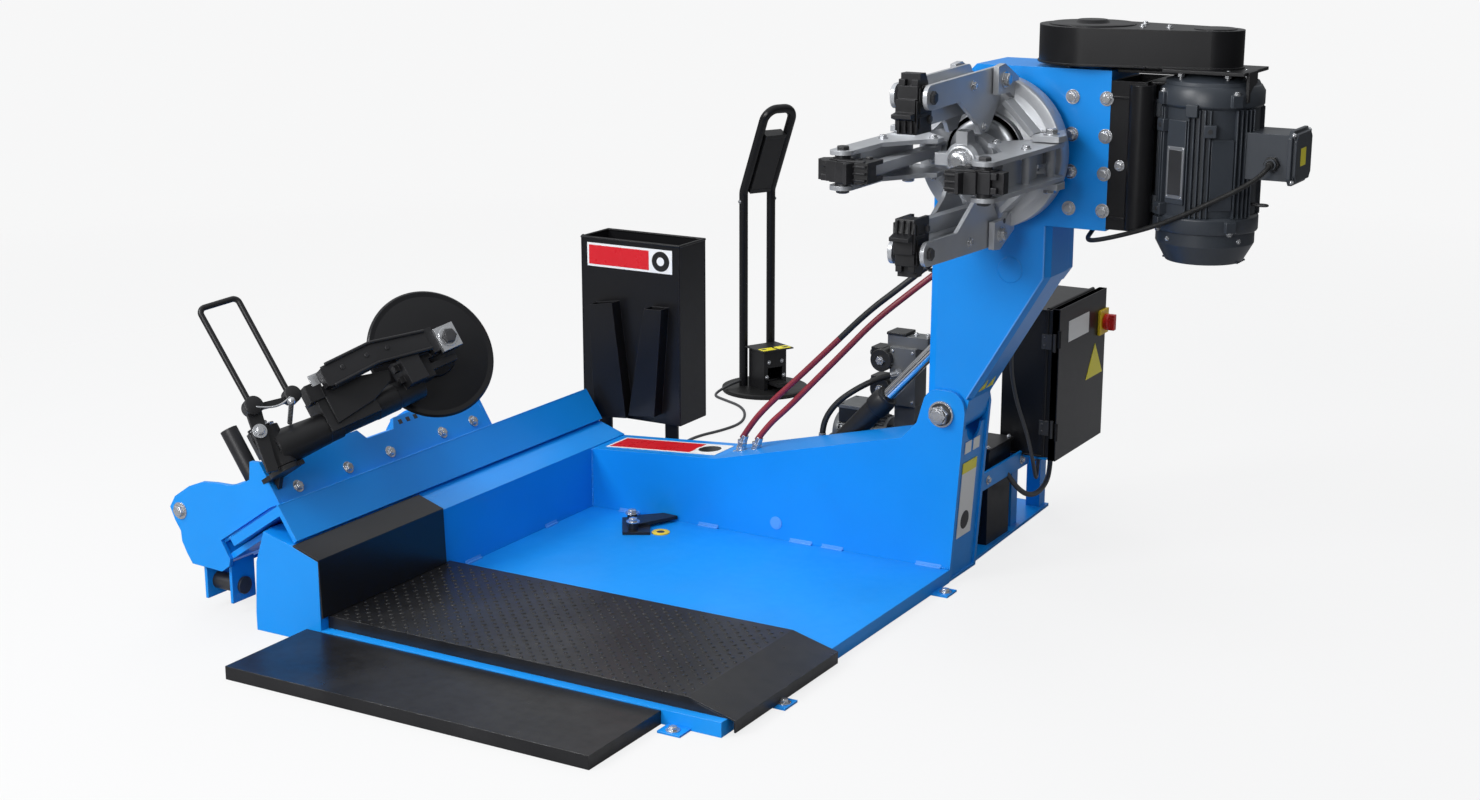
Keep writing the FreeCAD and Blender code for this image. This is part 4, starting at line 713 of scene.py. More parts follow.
def guard_trim():
    """Screws, spacers and the pressed disc of the belt guard."""
    piece = Piece("guard_disc", BLACK_SHEET)
    piece.turned([(0.1, 1.3845), (0.1, 1.388), (0.096, 1.39), (0.04, 1.39), (0.034, 1.397),
                  (0.02, 1.398)], (0.832, 0.665, 0), UP, 64)
    piece.turned([(0.048, 1.3845), (0.048, 1.3875), (0.045, 1.389), (0.01, 1.389)],
                 (MOTOR_X, MOTOR_Y, 0), UP)
    piece.done("swing_arm", bevel=0.0006)
    screws = Piece("guard_screws", ZINC)
    for x, y in ((0.962, 0.64), (1.024, 0.645), (0.94, 0.72)):
        screws.bolt((x, y, 1.386), UP, 0.006, 0.004, 0.0085)
    for x, y in ((1.075, 0.59), (1.18, 0.6), (1.205, 0.655), (1.06, 0.735), (1.15, 0.745)):
        screws.rod((x, y, 1.262), (x, y, 1.301), 0.0042, 16)
        screws.rod((x, y, 1.284), (x, y, 1.291), 0.0085, 6)
        screws.rod((x, y, 1.27), (x, y, 1.274), 0.0085, 6)
    screws.rod((0.788, 0.64, 1.288), (0.788, 0.64, 1.301), 0.01, 24)
    screws.rod((0.862, 0.72, 1.288), (0.862, 0.72, 1.301), 0.01, 24)
    screws.done("swing_arm", bevel=0.0003)
    ears = Piece("guard_mount", BLACK)
    ears.box((1.035, 0.575, 1.292), (1.225, 0.755, 1.3))
    ears.box((1.222, 0.6, 1.232), (1.23, 0.66, 1.3))
    ears.box((0.9, 0.612, 1.284), (1.06, 0.72, 1.291))
    ears.rod((0.83, 0.665, 1.298), (0.83, 0.665, 1.3005), 0.118, 48)
    ears.done("swing_arm", bevel=0.001)


guard_trim()


# ---------------------------------------------------------------- chuck
CHUCK_X, CHUCK_Z = 0.652, 1.094
NAMES = ("top", "right", "bottom", "left")


def radial_frame(number):
    """Frame of a clamp arm: x across it, y the machine's Y, z outwards from the chuck."""
    turn = Matrix.Rotation(math.radians(90 * number), 4, "Y")
    return Matrix.Translation((CHUCK_X, 0, CHUCK_Z)) @ turn


def cross_bolt(piece, level, radius, half, across, head, washer=0.0):
    """A bolt and nut through a radial plane, proud of both sides."""
    piece.bolt((-half, level, radius), LEFT, across, head, washer)
    piece.bolt((half, level, radius), RIGHT, across, head, washer)


def chuck_trim():
    """Bolts of the chuck's plates, and its turned face, inner ring and rim."""
    piece = Piece("chuck_bolts", ZINC)
    dark = Piece("chuck_dark_bolts", DARK_STEEL_AND_SHADE)
    for number in range(4):
        piece.at(radial_frame(number))
        cross_bolt(piece, 0.44, 0.178, 0.0605, 0.0145, 0.011, 0.019)
        cross_bolt(piece, 0.47, 0.128, 0.021, 0.01, 0.007, 0.0135)
        dark.at(radial_frame(number)).rod((-0.0605, 0.46, 0.15), (-0.0618, 0.46, 0.15), 0.006, 18)
    piece.done("chuck", bevel=0.0005)
    dark.done("chuck")
    face = [(0.052, 0.47), (0.0955, 0.47), (0.0975, 0.472), (0.0975, 0.489), (0.052, 0.489)]
    ring = [(0.052, 0.462), (0.06, 0.458), (0.078, 0.458), (0.084, 0.462), (0.084, 0.471), (0.052, 0.471)]
    rim = [(0.17, 0.4985), (0.1785, 0.4995), (0.18, 0.502), (0.18, 0.546), (0.1785, 0.5485),
           (0.17, 0.5485)]
    for name, finish, outline, sides, slot, bevel in (
        ("chuck_face", TURNED, face, 72, "chuck_steel", 0.001),
        ("chuck_inner_ring", TURNED, ring, 72, "chuck_steel", 0.001),
        ("chuck_rim", SILVER, rim, 96, "arm_steel", 0.0008),
    ):
        plate = Piece(name, finish)
        plate.turned(outline, (CHUCK_X, 0, CHUCK_Z), BACK, sides)
        plate.done("chuck", bevel=bevel)


def jaw_trim(number):
    """Bolts, clamp wedge, nose and cast ribs of one jaw."""
    body = "clamp_jaw_" + NAMES[number]
    bolts = Piece(body + "_bolts", DARK_STEEL_AND_SHADE, radial_frame(number))
    cross_bolt(bolts, 0.09, 0.17, 0.0445, 0.015, 0.009)
    cross_bolt(bolts, 0.12, 0.12, 0.0232, 0.0095, 0.006)
    for side in (-1, 1):
        bolts.rod((side * 0.0228, 0.09, 0.17), (side * 0.0338, 0.09, 0.17), 0.0175, 32)
    bolts.done(body, bevel=0.0006)
    ribs = Piece(body + "_ribs", CAST, radial_frame(number))
    for side in (-1, 1):
        low, high = sorted((side * 0.0228, side * 0.0262))
        for (y0, z0), (y1, z1) in (
            ((0.052, 0.1), (0.06, 0.165)), ((0.066, 0.104), (0.072, 0.192)),
            ((0.078, 0.186), (0.108, 0.196)), ((0.06, 0.128), (0.104, 0.136)),
        ):
            ribs.box((low, y0, z0), (high, y1, z1))
    ribs.box((-0.0215, 0.03, 0.1285), (0.0215, 0.052, 0.1365))
    ribs.box((-0.023, 0.06, 0.196), (-0.008, 0.072, 0.21))
    ribs.box((0.008, 0.06, 0.196), (0.023, 0.072, 0.21))
    for across in (-0.015, 0.0, 0.015):
        ribs.box((across - 0.0025, 0.0455, 0.094), (across + 0.0025, 0.058, 0.136))
    ribs.done(body, bevel=0.0012)


def arm_trim(number):
    """Tie bolts and the folded web of one clamp arm."""
    body = "clamp_arm_" + NAMES[number]
    tie = Piece(body + "_tie", ZINC, radial_frame(number))
    cross_bolt(tie, 0.3, 0.176, 0.0445, 0.009, 0.006, 0.0115)
    cross_bolt(tie, 0.362, 0.078, 0.0445, 0.008, 0.005, 0.0105)
    tie.done(body, bevel=0.0004)
    web = Piece(body + "_web", SILVER, radial_frame(number))
    web.box((-0.0345, 0.15, 0.157), (0.0345, 0.402, 0.161))
    web.box((-0.0345, 0.15, 0.161), (0.0345, 0.154, 0.186))
    web.done(body, bevel=0.0006)


def spider_nut():
    piece = Piece("spider_nut", ZINC, Matrix.Translation((CHUCK_X, 0.3395, CHUCK_Z)))
    piece.rod((0, 0, 0), (0, -0.0035, 0), 0.031, 48)
    piece.rod((0, -0.0035, 0), (0, -0.018, 0), 0.0235, 6)
    piece.rod((0, -0.018, 0), (0, -0.02, 0), 0.0232, 6, 0.0195)
    piece.rod((0, -0.018, 0), (0, -0.026, 0), 0.013, 32)
    piece.done("spider", bevel=0.0008)


chuck_trim()
spider_nut()
for index in range(4):
    jaw_trim(index)
    arm_trim(index)


# ---------------------------------------------------------------- platform, wall, beam
def weld_tabs():
    """Short flat weld seams where the platform meets the wall and the left beam."""
    piece = Piece("weld_tabs", BLUE_PALE)
    for low, high in ((-0.43, -0.366), (0.097, 0.162), (0.191, 0.252), (0.459, 0.529), (-0.18, -0.12)):
        piece.box((low, 0.552, 0.034), (high, 0.5605, 0.0375))
        piece.box((low, 0.5585, 0.034), (high, 0.5605, 0.043))
    for low, high in ((-0.013, 0.049), (0.335, 0.385)):
        piece.box((-0.5195, low, 0.034), (-0.512, high, 0.0375))
        piece.box((-0.5195, low, 0.034), (-0.5175, high, 0.043))
    piece.rod((0.055, 0.5605, 0.077), (0.055, 0.5585, 0.077), 0.017, 40)
    piece.rod((0.055, 0.559, 0.077), (0.055, 0.5578, 0.077), 0.013, 40)
    piece.done("base", bevel=0.0007)


STUD_RINGS = ((0.0058, 0.0), (0.0044, 0.0016), (0.002, 0.0023))
STUD_PITCH = 0.035


def tread_dots():
    """Raised oval studs on the tread plate, in staggered rows that lean both ways."""
    piece = Piece("tread_dots", BLACK_TREAD)
    up = Vector(UP)
    turns = [2 * math.pi * step / 8 for step in range(8)]
    for row in range(int(0.44 / (STUD_PITCH * 0.5))):
        along = Vector((1, 0.55 if row % 2 else -0.55, 0)).normalized()
        side = up.cross(along)
        for column in range(28):
            x = -0.503 + (column + (row % 2) * 0.5) * STUD_PITCH
            if x > 0.446:
                continue
            centre = Vector((x, -0.526 + row * STUD_PITCH * 0.5, 0.0637))
            piece.skin([[centre + (along * math.cos(turn) * 1.25 + side * math.sin(turn) * 0.8) * radius
                         + up * lift for turn in turns] for radius, lift in STUD_RINGS])
    piece.done("base", angle=60)


def wheel_stop_trim():
    hex_bolts("stop_bolts", "base", ((-0.338, 0.478, 0.064), (-0.296, 0.418, 0.064)), UP, 0.0125, 0.008,
              0.018, 0.0005)
    mark = Piece("stop_mark", YELLOW)
    mark.turned([(0.024, 0.034), (0.024, 0.0365), (0.022, 0.0375), (0.012, 0.0375), (0.011, 0.0365)],
                (-0.232, 0.452, 0), UP)
    mark.use(DARK_STEEL_AND_SHADE)
    mark.rod((-0.232, 0.452, 0.0362), (-0.232, 0.452, 0.0372), 0.01, 32)
    mark.done("base", bevel=0.0004)


def wall_labels():
    """Plain labels without lettering: a long one on the wall's top, three on its right end."""
    slope = math.atan((0.225 - 0.197) / 0.392)
    top = Matrix.Translation((-0.492, 0.588, 0.1974 + (0.519 - 0.492) * math.tan(slope)))
    piece = Piece("wall_top_label", LABEL_RED, top @ Matrix.Rotation(-slope, 4, "Y"))
    piece.use(LABEL_WHITE)
    piece.box((0, 0, 0), (0.345, 0.105, 0.0008))
    piece.use(LABEL_RED)
    piece.box((0.008, 0.008, 0.0006), (0.262, 0.097, 0.0013))
    piece.use(LABEL_WHITE)
    piece.rod((0.3, 0.0525, 0.0006), (0.3, 0.0525, 0.0014), 0.04, 48)
    piece.use(PLASTIC)
    piece.rod((0.3, 0.0525, 0.0012), (0.3, 0.0525, 0.0018), 0.031, 48)
    piece.done("base", bevel=0.0002)
    lean = math.atan((0.572 - 0.545) / (0.392 - 0.006))
    side = Piece("wall_side_labels", LABEL_WHITE,
                 Matrix.Translation((0.5456, 0.64, 0.006)) @ Matrix.Rotation(lean, 4, "Y"))
    for near, far, low, high, finish in (
        (-0.05, 0.034, 0.1, 0.27, LABEL_WHITE), (-0.05, 0.034, 0.27, 0.298, LABEL_YELLOW),
        (-0.046, -0.01, 0.322, 0.352, LABEL_WHITE), (0.004, 0.04, 0.322, 0.352, LABEL_WHITE),
    ):
        side.use(finish)
        side.box((0.0, near, low), (0.0016, far, high))
    side.use(PLASTIC)
    side.rod((0, -0.01, 0.142), (0.0022, -0.01, 0.142), 0.024, 40)
    side.done("base", bevel=0.0002)


def seams():
    """Weld beads up the wall's corner, along the ramp and at the platform's right edge."""
    piece = Piece("weld_beads", BLUE)
    for start, end in (
        ((-0.519, 0.5605, 0.036), (-0.519, 0.5605, 0.196)),
        ((-0.716, -0.556, 0.004), (-0.716, 0.7, 0.004)),
        ((0.5, 0.56, 0.036), (0.549, 0.56, 0.036)),
    ):
        start, end = Vector(start), Vector(end)
        count = max(2, int((end - start).length / 0.006))
        for number in range(count):
            piece.ball(start.lerp(end, (number + 0.5) / count), 0.0035 + RNG.uniform(-0.0004, 0.0004))
    piece.done("base", angle=80)


weld_tabs()
tread_dots()
wheel_stop_trim()
hex_bolts("anchor_bolts", "base", [(x, y, 0.005) for x, y in (
    (0.578, 0.48), (0.578, -0.34), (0.45, -0.586), (-0.742, -0.48))], UP, 0.0105, 0.007, 0.0155)
wall_labels()
seams()


# ---------------------------------------------------------------- hydraulics
def hex_fitting(piece, start, direction, radius=0.011):
    start, direction = Vector(start), Vector(direction).normalized()
    piece.rod(start, start + direction * 0.014, radius * 1.18, 6)
    piece.rod(start + direction * 0.014, start + direction * 0.034, radius * 0.92, 24, radius * 0.86)


def hose_fittings():
    piece = Piece("hose_fittings", ZINC)
    for x in (-0.096, -0.052):
        hex_fitting(piece, (x, 0.641, 0.243), (0.35, 0.05, 1.0))
        piece.rod((x, 0.641, 0.221), (x, 0.641, 0.236), 0.0165, 6)
    piece.rod((-0.12, 0.641, 0.219), (-0.03, 0.641, 0.219), 0.01, 20)
    hex_fitting(piece, (0.256, 0.868, 0.438), (-0.6, -1.0, -0.1))
    piece.done("base", bevel=0.0005)
    top = Piece("swivel_fittings", ZINC)
    for x in (0.63, 0.674):
        hex_fitting(top, (x, 0.807, 1.052), DOWN)
    top.turned([(0.024, 0.0), (0.034, 0.002), (0.034, 0.012), (0.024, 0.014)],
               (CHUCK_X, 0.768, CHUCK_Z), BACK, 40)
    top.done("swing_arm", bevel=0.0006)


def valve_trim():
    """Coils and plugs of the two valves, their caps, and screws on the block."""
    coils = Piece("valve_coils", PLASTIC)
    for level in (0.392, 0.47):
        coils.rod((0.206, 0.85, level), (0.206, 0.912, level), 0.0305, 32)
        coils.box((0.172, 0.862, level - 0.01), (0.208, 0.916, level + 0.032))
        coils.rod((0.172, 0.889, level + 0.011), (0.16, 0.889, level + 0.009), 0.009, 18)
    coils.box((0.212, 0.872, 0.5365), (0.268, 0.934, 0.5445))
    coils.done("base", bevel=0.002, segments=3)
    caps = Piece("valve_caps", ZINC)
    for level in (0.392, 0.47):
        caps.rod((0.206, 0.8505, level), (0.206, 0.844, level), 0.012, 6)
        caps.rod((0.206, 0.8445, level), (0.206, 0.84, level), 0.0055, 20)
        caps.bolt((0.172, 0.889, level + 0.022), LEFT, 0.003, 0.002)
    for x in (0.234, 0.292):
        for z in (0.362, 0.43, 0.496):
            caps.bolt((x, 0.866, z), FRONT, 0.0045, 0.004)
    for x in (0.284, 0.318):
        caps.bolt((x, 0.904, 0.536), UP, 0.006, 0.005, 0.008)
    caps.done("base", bevel=0.0004)


def pump_trim():
    """Lid of the pump motor's terminal box, and its fan cowl's ribs and rim."""
    pump = Piece("pump_box", PLASTIC)
    pump.box((0.08, 0.858, 0.286), (0.182, 0.96, 0.326))
    pump.use(PUMP)
    pump.box((0.078, 0.856, 0.324), (0.184, 0.962, 0.334))
    pump.use(DARK_STEEL_AND_SHADE)
    for x in (0.088, 0.174):
        for y in (0.866, 0.952):
            pump.rod((x, y, 0.334), (x, y, 0.3356), 0.004, 16)
    pump.done("base", bevel=0.0016)
    fins = Piece("pump_fins", PUMP)
    middle = Matrix.Translation((0, 0.91, 0.25))
    for angle in range(0, 360, 15):
        fins.at(middle @ Matrix.Rotation(math.radians(angle), 4, "X"))
        fins.box((0.074, -0.0018, 0.05), (0.206, 0.0018, 0.058))
    fins.at(middle).turned([(0.04, 0.06), (0.055, 0.062), (0.058, 0.068), (0.058, 0.08), (0.05, 0.082)],
                           (0, 0, 0), RIGHT, 40)
    fins.done("base", bevel=0.0008, segments=1)


def hose_ties():
    """Two ties that hold the arm hoses together."""
    ties = Piece("hose_ties", PLASTIC)
    for share in (0.62, 0.8):
        first, second = (line[int(share * (len(line) - 1))] for line in (one, two))
        middle = (first + second) / 2
        along = (one[int(share * (len(one) - 1)) + 1] - first).normalized()
        across = (second - first).normalized()
        up = along.cross(across).normalized()
        for side in (-1, 1):
            ties.rod(first + up * side * 0.0088, second + up * side * 0.0088, 0.0022, 10)
        for spot in (first, second):
            ties.rod(spot - along * 0.003, spot + along * 0.003, 0.0092, 24)
        knot, half = middle + up * 0.012, Vector((0.006, 0.006, 0.004))
        ties.box(knot - half, knot + half)
    obj = ties.made()
    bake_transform(obj)


def tank_trim():
    piece = Piece("tank_trim", BLACK)
    piece.turned([(0.024, 0.296), (0.026, 0.3), (0.026, 0.314), (0.022, 0.318), (0.006, 0.318)],
                 (0.356, 0.972, 0), UP, 32)
    for x in (0.35, 0.425, 0.5):
        piece.box((x - 0.002, 0.8545, 0.03), (x + 0.002, 0.8575, 0.25))
    piece.done("base", bevel=0.001)
    glass = Piece("tank_bolts", ZINC)
    for x in (0.334, 0.425, 0.516):
        for y in (0.861, 0.996):
            glass.bolt((x, y, 0.27), UP, 0.005, 0.004, 0.007)
    glass.rod((0.488, 0.852, 0.12), (0.488, 0.848, 0.12), 0.013, 32)
    glass.done("base", bevel=0.0003)


def lift_trim():
    """Gland, foot ring, ports and foot pin of the lift cylinder."""
    foot = Vector((0.038, 0.756, 0.147))
    aim = Vector((0.5 - 0.038, 0, 0.646 - 0.147)).normalized()
    gland = Piece("lift_gland", BLACK)
    gland.turned([(0.0195, 0.3), (0.032, 0.3), (0.033, 0.304), (0.033, 0.336), (0.03, 0.345),
                  (0.0195, 0.352)], foot, aim, 48, hollow=True)
    gland.turned([(0.02, 0.026), (0.031, 0.03), (0.031, 0.048), (0.029, 0.052)], foot, aim, 40)
    nuts = Piece("lift_ports", ZINC)
    for share in (0.07, 0.285):
        near, seat, far = (foot + aim * share + Vector((0, out, 0)) for out in (0.026, 0.044, 0.056))
        gland.rod(near, seat, 0.01, 20)
        nuts.rod(seat, far, 0.012, 6)
    gland.done("lift_barrel", bevel=0.001)
    hex_fitting(nuts, (0.088, 0.75, 0.246), UP)
    nuts.done("lift_barrel", bevel=0.0005)
    hex_bolts("lift_pin_nut", "base", [(0.038, 0.792, 0.147)], BACK, 0.018, 0.012, 0.024, 0.0006)


hose_fittings()
valve_trim()
pump_trim()
hose_ties()
tank_trim()
lift_trim()


# ---------------------------------------------------------------- cabinet and tool box
DOOR = 0.64


def door_trim():
    """Main switch, blank labels, folded edges and hinges of the cabinet's door."""
    plate = Piece("switch_plate", YELLOW)
    plate.box((DOOR, 1.29, 0.5), (DOOR + 0.008, 1.352, 0.568))
    plate.done("cabinet_door", bevel=0.0015, segments=3)
    knob = Piece("switch_knob", RED, Matrix.Translation((DOOR + 0.008, 1.322, 0.534)))
    knob.turned([(0.0215, 0.0005), (0.0225, 0.003), (0.0225, 0.013), (0.02, 0.0155), (0.01, 0.016)],
                (0, 0, 0), RIGHT)
    knob.box((0.012, -0.0085, -0.0215), (0.0298, 0.0085, 0.0215))
    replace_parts(knob.done("main_switch", bevel=0.002, segments=3), "main_switch")
    face = Piece("door_labels", LABEL_WHITE)
    face.box((DOOR, 1.078, 0.524), (DOOR + 0.0012, 1.222, 0.58))
    face.use(LABEL_YELLOW)
    face.at(FACING_RIGHT).prism([(1.215, 0.392), (1.335, 0.392), (1.275, 0.482)], DOOR, 0.0012)
    face.done("cabinet_door", bevel=0.0003)
    hem = Piece("door_hem", BLACK_SHEET)
    for near, far, low in ((1.016, 1.0215, 0.214), (1.3425, 1.348, 0.214), (1.016, 1.348, 0.6165)):
        hem.box((DOOR - 0.022, near, low), (DOOR - 0.0005, far, 0.622))
    hem.done("cabinet_door", bevel=0.002, segments=3)
    hinges = Piece("door_hinges", DARK_STEEL_AND_SHADE)
    for z in (0.3, 0.532):
        hinges.rod((DOOR - 0.012, 1.0145, z - 0.024), (DOOR - 0.012, 1.0145, z + 0.024), 0.0048, 20)
        hinges.box((DOOR - 0.05, 1.019, z - 0.02), (DOOR - 0.014, 1.022, z + 0.02))
        for lift in (0.01, -0.01):
            hinges.bolt((DOOR - 0.042, 1.0192, z + lift), FRONT, 0.003, 0.002)
    hinges.done("base", bevel=0.0005)


def cabinet_trim():
    """Rolled edges, cable glands, and the bar that carries the cabinet with its bolts."""
    roof = Piece("cabinet_rim", BLACK_SHEET)
    roof.rod((0.604, 1.024, 0.617), (0.604, 1.34, 0.617), 0.0055, 20)
    roof.rod((0.604, 1.024, 0.22), (0.604, 1.024, 0.617), 0.005, 20)
    for low in (0.219, 0.612):
        roof.box((0.477, 1.0185, low), (0.6, 1.0225, low + 0.005))
    roof.done("base", bevel=0.001)
    glands = Piece("cabinet_glands", PLASTIC)
    for x, y in ((0.56, 1.18), (0.556, 1.112), (0.56, 1.25)):
        glands.rod((x, y, 0.2105), (x, y, 0.196), 0.015, 6)
        glands.rod((x, y, 0.198), (x, y, 0.184), 0.0115, 24, 0.0085)
    glands.done("base", bevel=0.0006)
    bar = Piece("cabinet_bar", BLUE)
    bar.box((0.536, 0.7215, 0.182), (0.544, 1.072, 0.228))
    bar.box((0.5, 0.7215, 0.176), (0.544, 0.7295, 0.234))
    bar.box((0.508, 1.042, 0.182), (0.538, 1.05, 0.212))
    bar.done("base", bevel=0.0012)
    bolts = Piece("cabinet_bolts", ZINC)
    for y in (0.8, 1.02):
        bolts.bolt((0.5435, y, 0.205), RIGHT, 0.008, 0.006, 0.012)
    for y in (1.06, 1.262):
        bolts.bolt((0.47, y, 0.16), LEFT, 0.009, 0.006, 0.013)
        bolts.bolt((0.49, y - 0.02, 0.15), FRONT, 0.009, 0.006, 0.013)
    bolts.done("base", bevel=0.0004)


def tool_box_trim():
    """Rolled rim, blank label, side hook and screws of the tool box."""
    rim = Piece("tool_box_rim", BLACK_SHEET)
    corners = [(-0.702, 0.798), (-0.383, 0.798), (-0.383, 0.932), (-0.702, 0.932)]
    for (x0, y0), (x1, y1) in zip(corners, corners[1:] + corners[:1]):
        rim.rod((x0, y0, 0.7275), (x1, y1, 0.7275), 0.0038, 16)
    for x, y in corners:
        rim.ball((x, y, 0.7275), 0.0038)
        rim.rod((x, y, 0.224), (x, y, 0.7275), 0.0022, 12)
    rim.done("base")
    label = Piece("tool_box_label", LABEL_WHITE)
    label.box((-0.683, 0.796, 0.648), (-0.405, 0.7972, 0.714))
    label.use(LABEL_RED)
    label.box((-0.677, 0.7955, 0.654), (-0.48, 0.7965, 0.708))
    for finish, near, far, radius, sides in ((PLASTIC, 0.7962, 0.7952, 0.028, 48),
                                             (LABEL_WHITE, 0.7956, 0.7949, 0.012, 32)):
        label.use(finish)
        label.rod((-0.442, near, 0.681), (-0.442, far, 0.681), radius, sides)
    label.done("base", bevel=0.0002)
    hook = Piece("tool_box_hook", BLACK)
    bends = [(-0.703, 0.826, 0.694), (-0.716, 0.826, 0.694), (-0.716, 0.826, 0.7225)]
    for start, end in zip(bends, bends[1:]):
        hook.rod(start, end, 0.0065, 18)
        hook.ball(end, 0.0065)
    hook.done("base")
    hex_bolts("tool_box_screws", "base", [(x, 0.8195, 0.262) for x in (-0.64, -0.42)], FRONT, 0.006,
              0.004, 0.009, 0.0003)


door_trim()
cabinet_trim()
tool_box_trim()


# ---------------------------------------------------------------- foot console
CONSOLE = Matrix.Translation((-0.815, 2.04, 0)) @ Matrix.Rotation(math.radians(64), 4, "Z")
PANEL = CONSOLE @ Matrix.Translation((0, 0.048, 0.672)) @ Matrix.Rotation(math.radians(25), 4, "X")


def console_trim():
    """Screws, blank labels, rubber rim and the panel's edges on the foot console."""
    piece = Piece("console_trim", ZINC, CONSOLE)
    for x, z in ((-0.026, 0.11), (0.026, 0.11), (-0.034, 0.06), (0.034, 0.06)):
        piece.bolt((x, -0.06, z), FRONT, 0.0045, 0.003, 0.0065)
    for side in (-1, 1):
        piece.bolt((side * 0.0695, 0.048, 0.64), (side, 0, 0), 0.0045, 0.003, 0.0065)
    piece.done("base", bevel=0.0003)
    labels = Piece("console_labels", LABEL_YELLOW, CONSOLE)
    for low, high in ((-0.056, -0.004), (0.006, 0.056)):
        labels.box((low, -0.074, 0.1538), (high, -0.04, 0.155))
    labels.use(PLASTIC)
    labels.box((-0.05, -0.06, 0.1546), (-0.034, -0.048, 0.1553))
    labels.box((0.03, -0.066, 0.1546), (0.05, -0.052, 0.1553))
    labels.done("base", bevel=0.0002)
    disc = Piece("console_rim", RUBBER)
    disc.turned([(0.139, 0.0), (0.1445, 0.002), (0.1455, 0.007), (0.1445, 0.013), (0.139, 0.0155),
                 (0.134, 0.0145)], (-0.815, 2.04, 0), UP, 96)
    disc.done("base")
    box = Piece("panel_edges", BLACK, PANEL)
    box.box((-0.0405, -0.0185, 0.002), (0.0405, 0.0185, 0.016))
    box.box((-0.0405, -0.0185, 0.212), (0.0405, 0.0185, 0.2235))
    box.box((-0.03, 0.0165, 0.03), (0.03, 0.0182, 0.205))
    for x in (-0.058, 0.05):
        for low in (0.04, 0.17):
            box.box((x, -0.006, low), (x + 0.01, 0.006, low + 0.02))
    box.done("base", bevel=0.0018, segments=3)


def joystick(name, node_name, level, finish):
    """Rubber boot, stem and knob on the moving body, and a collar on the panel."""
    foot = PANEL @ Matrix.Translation((0, 0.0174, level))
    piece = Piece(name, PLASTIC, foot)
    piece.turned([(0.0115, 0.0048), (0.012, 0.009), (0.01, 0.012), (0.011, 0.015), (0.006, 0.018)],
                 (0, 0, 0), BACK, 32)
    piece.rod((0, 0.016, 0), (0, 0.03, 0), 0.005, 20)
    piece.use(finish)
    piece.turned([(0.008, 0.024), (0.015, 0.027), (0.0175, 0.033), (0.0165, 0.041), (0.011, 0.048),
                  (0.004, 0.0505)], (0, 0, 0), BACK, 32)
    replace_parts(piece.done(node_name, angle=50), node_name)
    collar = Piece(name + "_collar", PLASTIC, foot)
    collar.turned([(0.014, 0.0002), (0.019, 0.0002), (0.0195, 0.003), (0.016, 0.0052), (0.014, 0.005)],
                  (0, 0, 0), BACK, 32, hollow=True)
    collar.done("base", angle=50)


def pedal_trim():
    piece = Piece("pedal_pad", RUBBER, CONSOLE)
    for step in range(6):
        start = -0.112 + step * 0.009
        piece.box((-0.022, start, 0.0415), (0.022, start + 0.005, 0.0445))
    piece.done("foot_pedal", bevel=0.0008)


console_trim()
joystick("stick_upper", "joystick_left", 0.168, PLASTIC)
joystick("stick_lower", "joystick_right", 0.084, RED)
pedal_trim()


# ---------------------------------------------------------------- carriage and tool arm
LEAN = math.radians(33.5)
TILT = Matrix.Translation((-0.648, 0, 0.297)) @ Matrix.Rotation(-LEAN, 4, "Y")
TOOL = (Matrix.Translation((-0.7, -0.505, 0.43)) @ Matrix.Rotation(-LEAN, 4, "Y")
        @ Matrix.Rotation(math.radians(65), 4, "Z"))


def carriage_trim():
    """Bolts, painted shade for the slots, and the front roller of the carriage."""
    piece = Piece("carriage_bolts", ZINC, TILT)
    for y in (-0.44, -0.26, -0.1, 0.11, 0.24):
        piece.bolt((-0.006, y, 0.04), RIGHT, 0.011, 0.008, 0.0155)
    piece.at(Matrix())
    for y, axis in ((-0.52, FRONT), (0.305, BACK)):
        piece.bolt((-0.979, y, 0.241), axis, 0.0145, 0.01, 0.021)
    piece.done("carriage", bevel=0.0005)
    dark = Piece("carriage_slot_shade_and_roller", DARK_STEEL_AND_SHADE, TILT)
    # painted shade: thin dark plates stand for the slots' dark insides
    for y in (-0.02, 0.01, 0.04):
        dark.box((-0.0064, y, 0.098), (-0.0054, y + 0.014, 0.11))
    dark.at(Matrix()).rod((-0.935, -0.47, 0.063), (-0.83, -0.47, 0.063), 0.0215, 32)
    dark.done("carriage", bevel=0.0005)


def rail_trim():
    piece = Piece("rail_lines", BLUE, TILT)
    for start, end in ((-0.178, -0.17), (0.004, 0.0125)):
        piece.box((start, -0.5455, 0.009), (end, 0.7215, 0.0125))
    piece.done("base", bevel=0.0012)


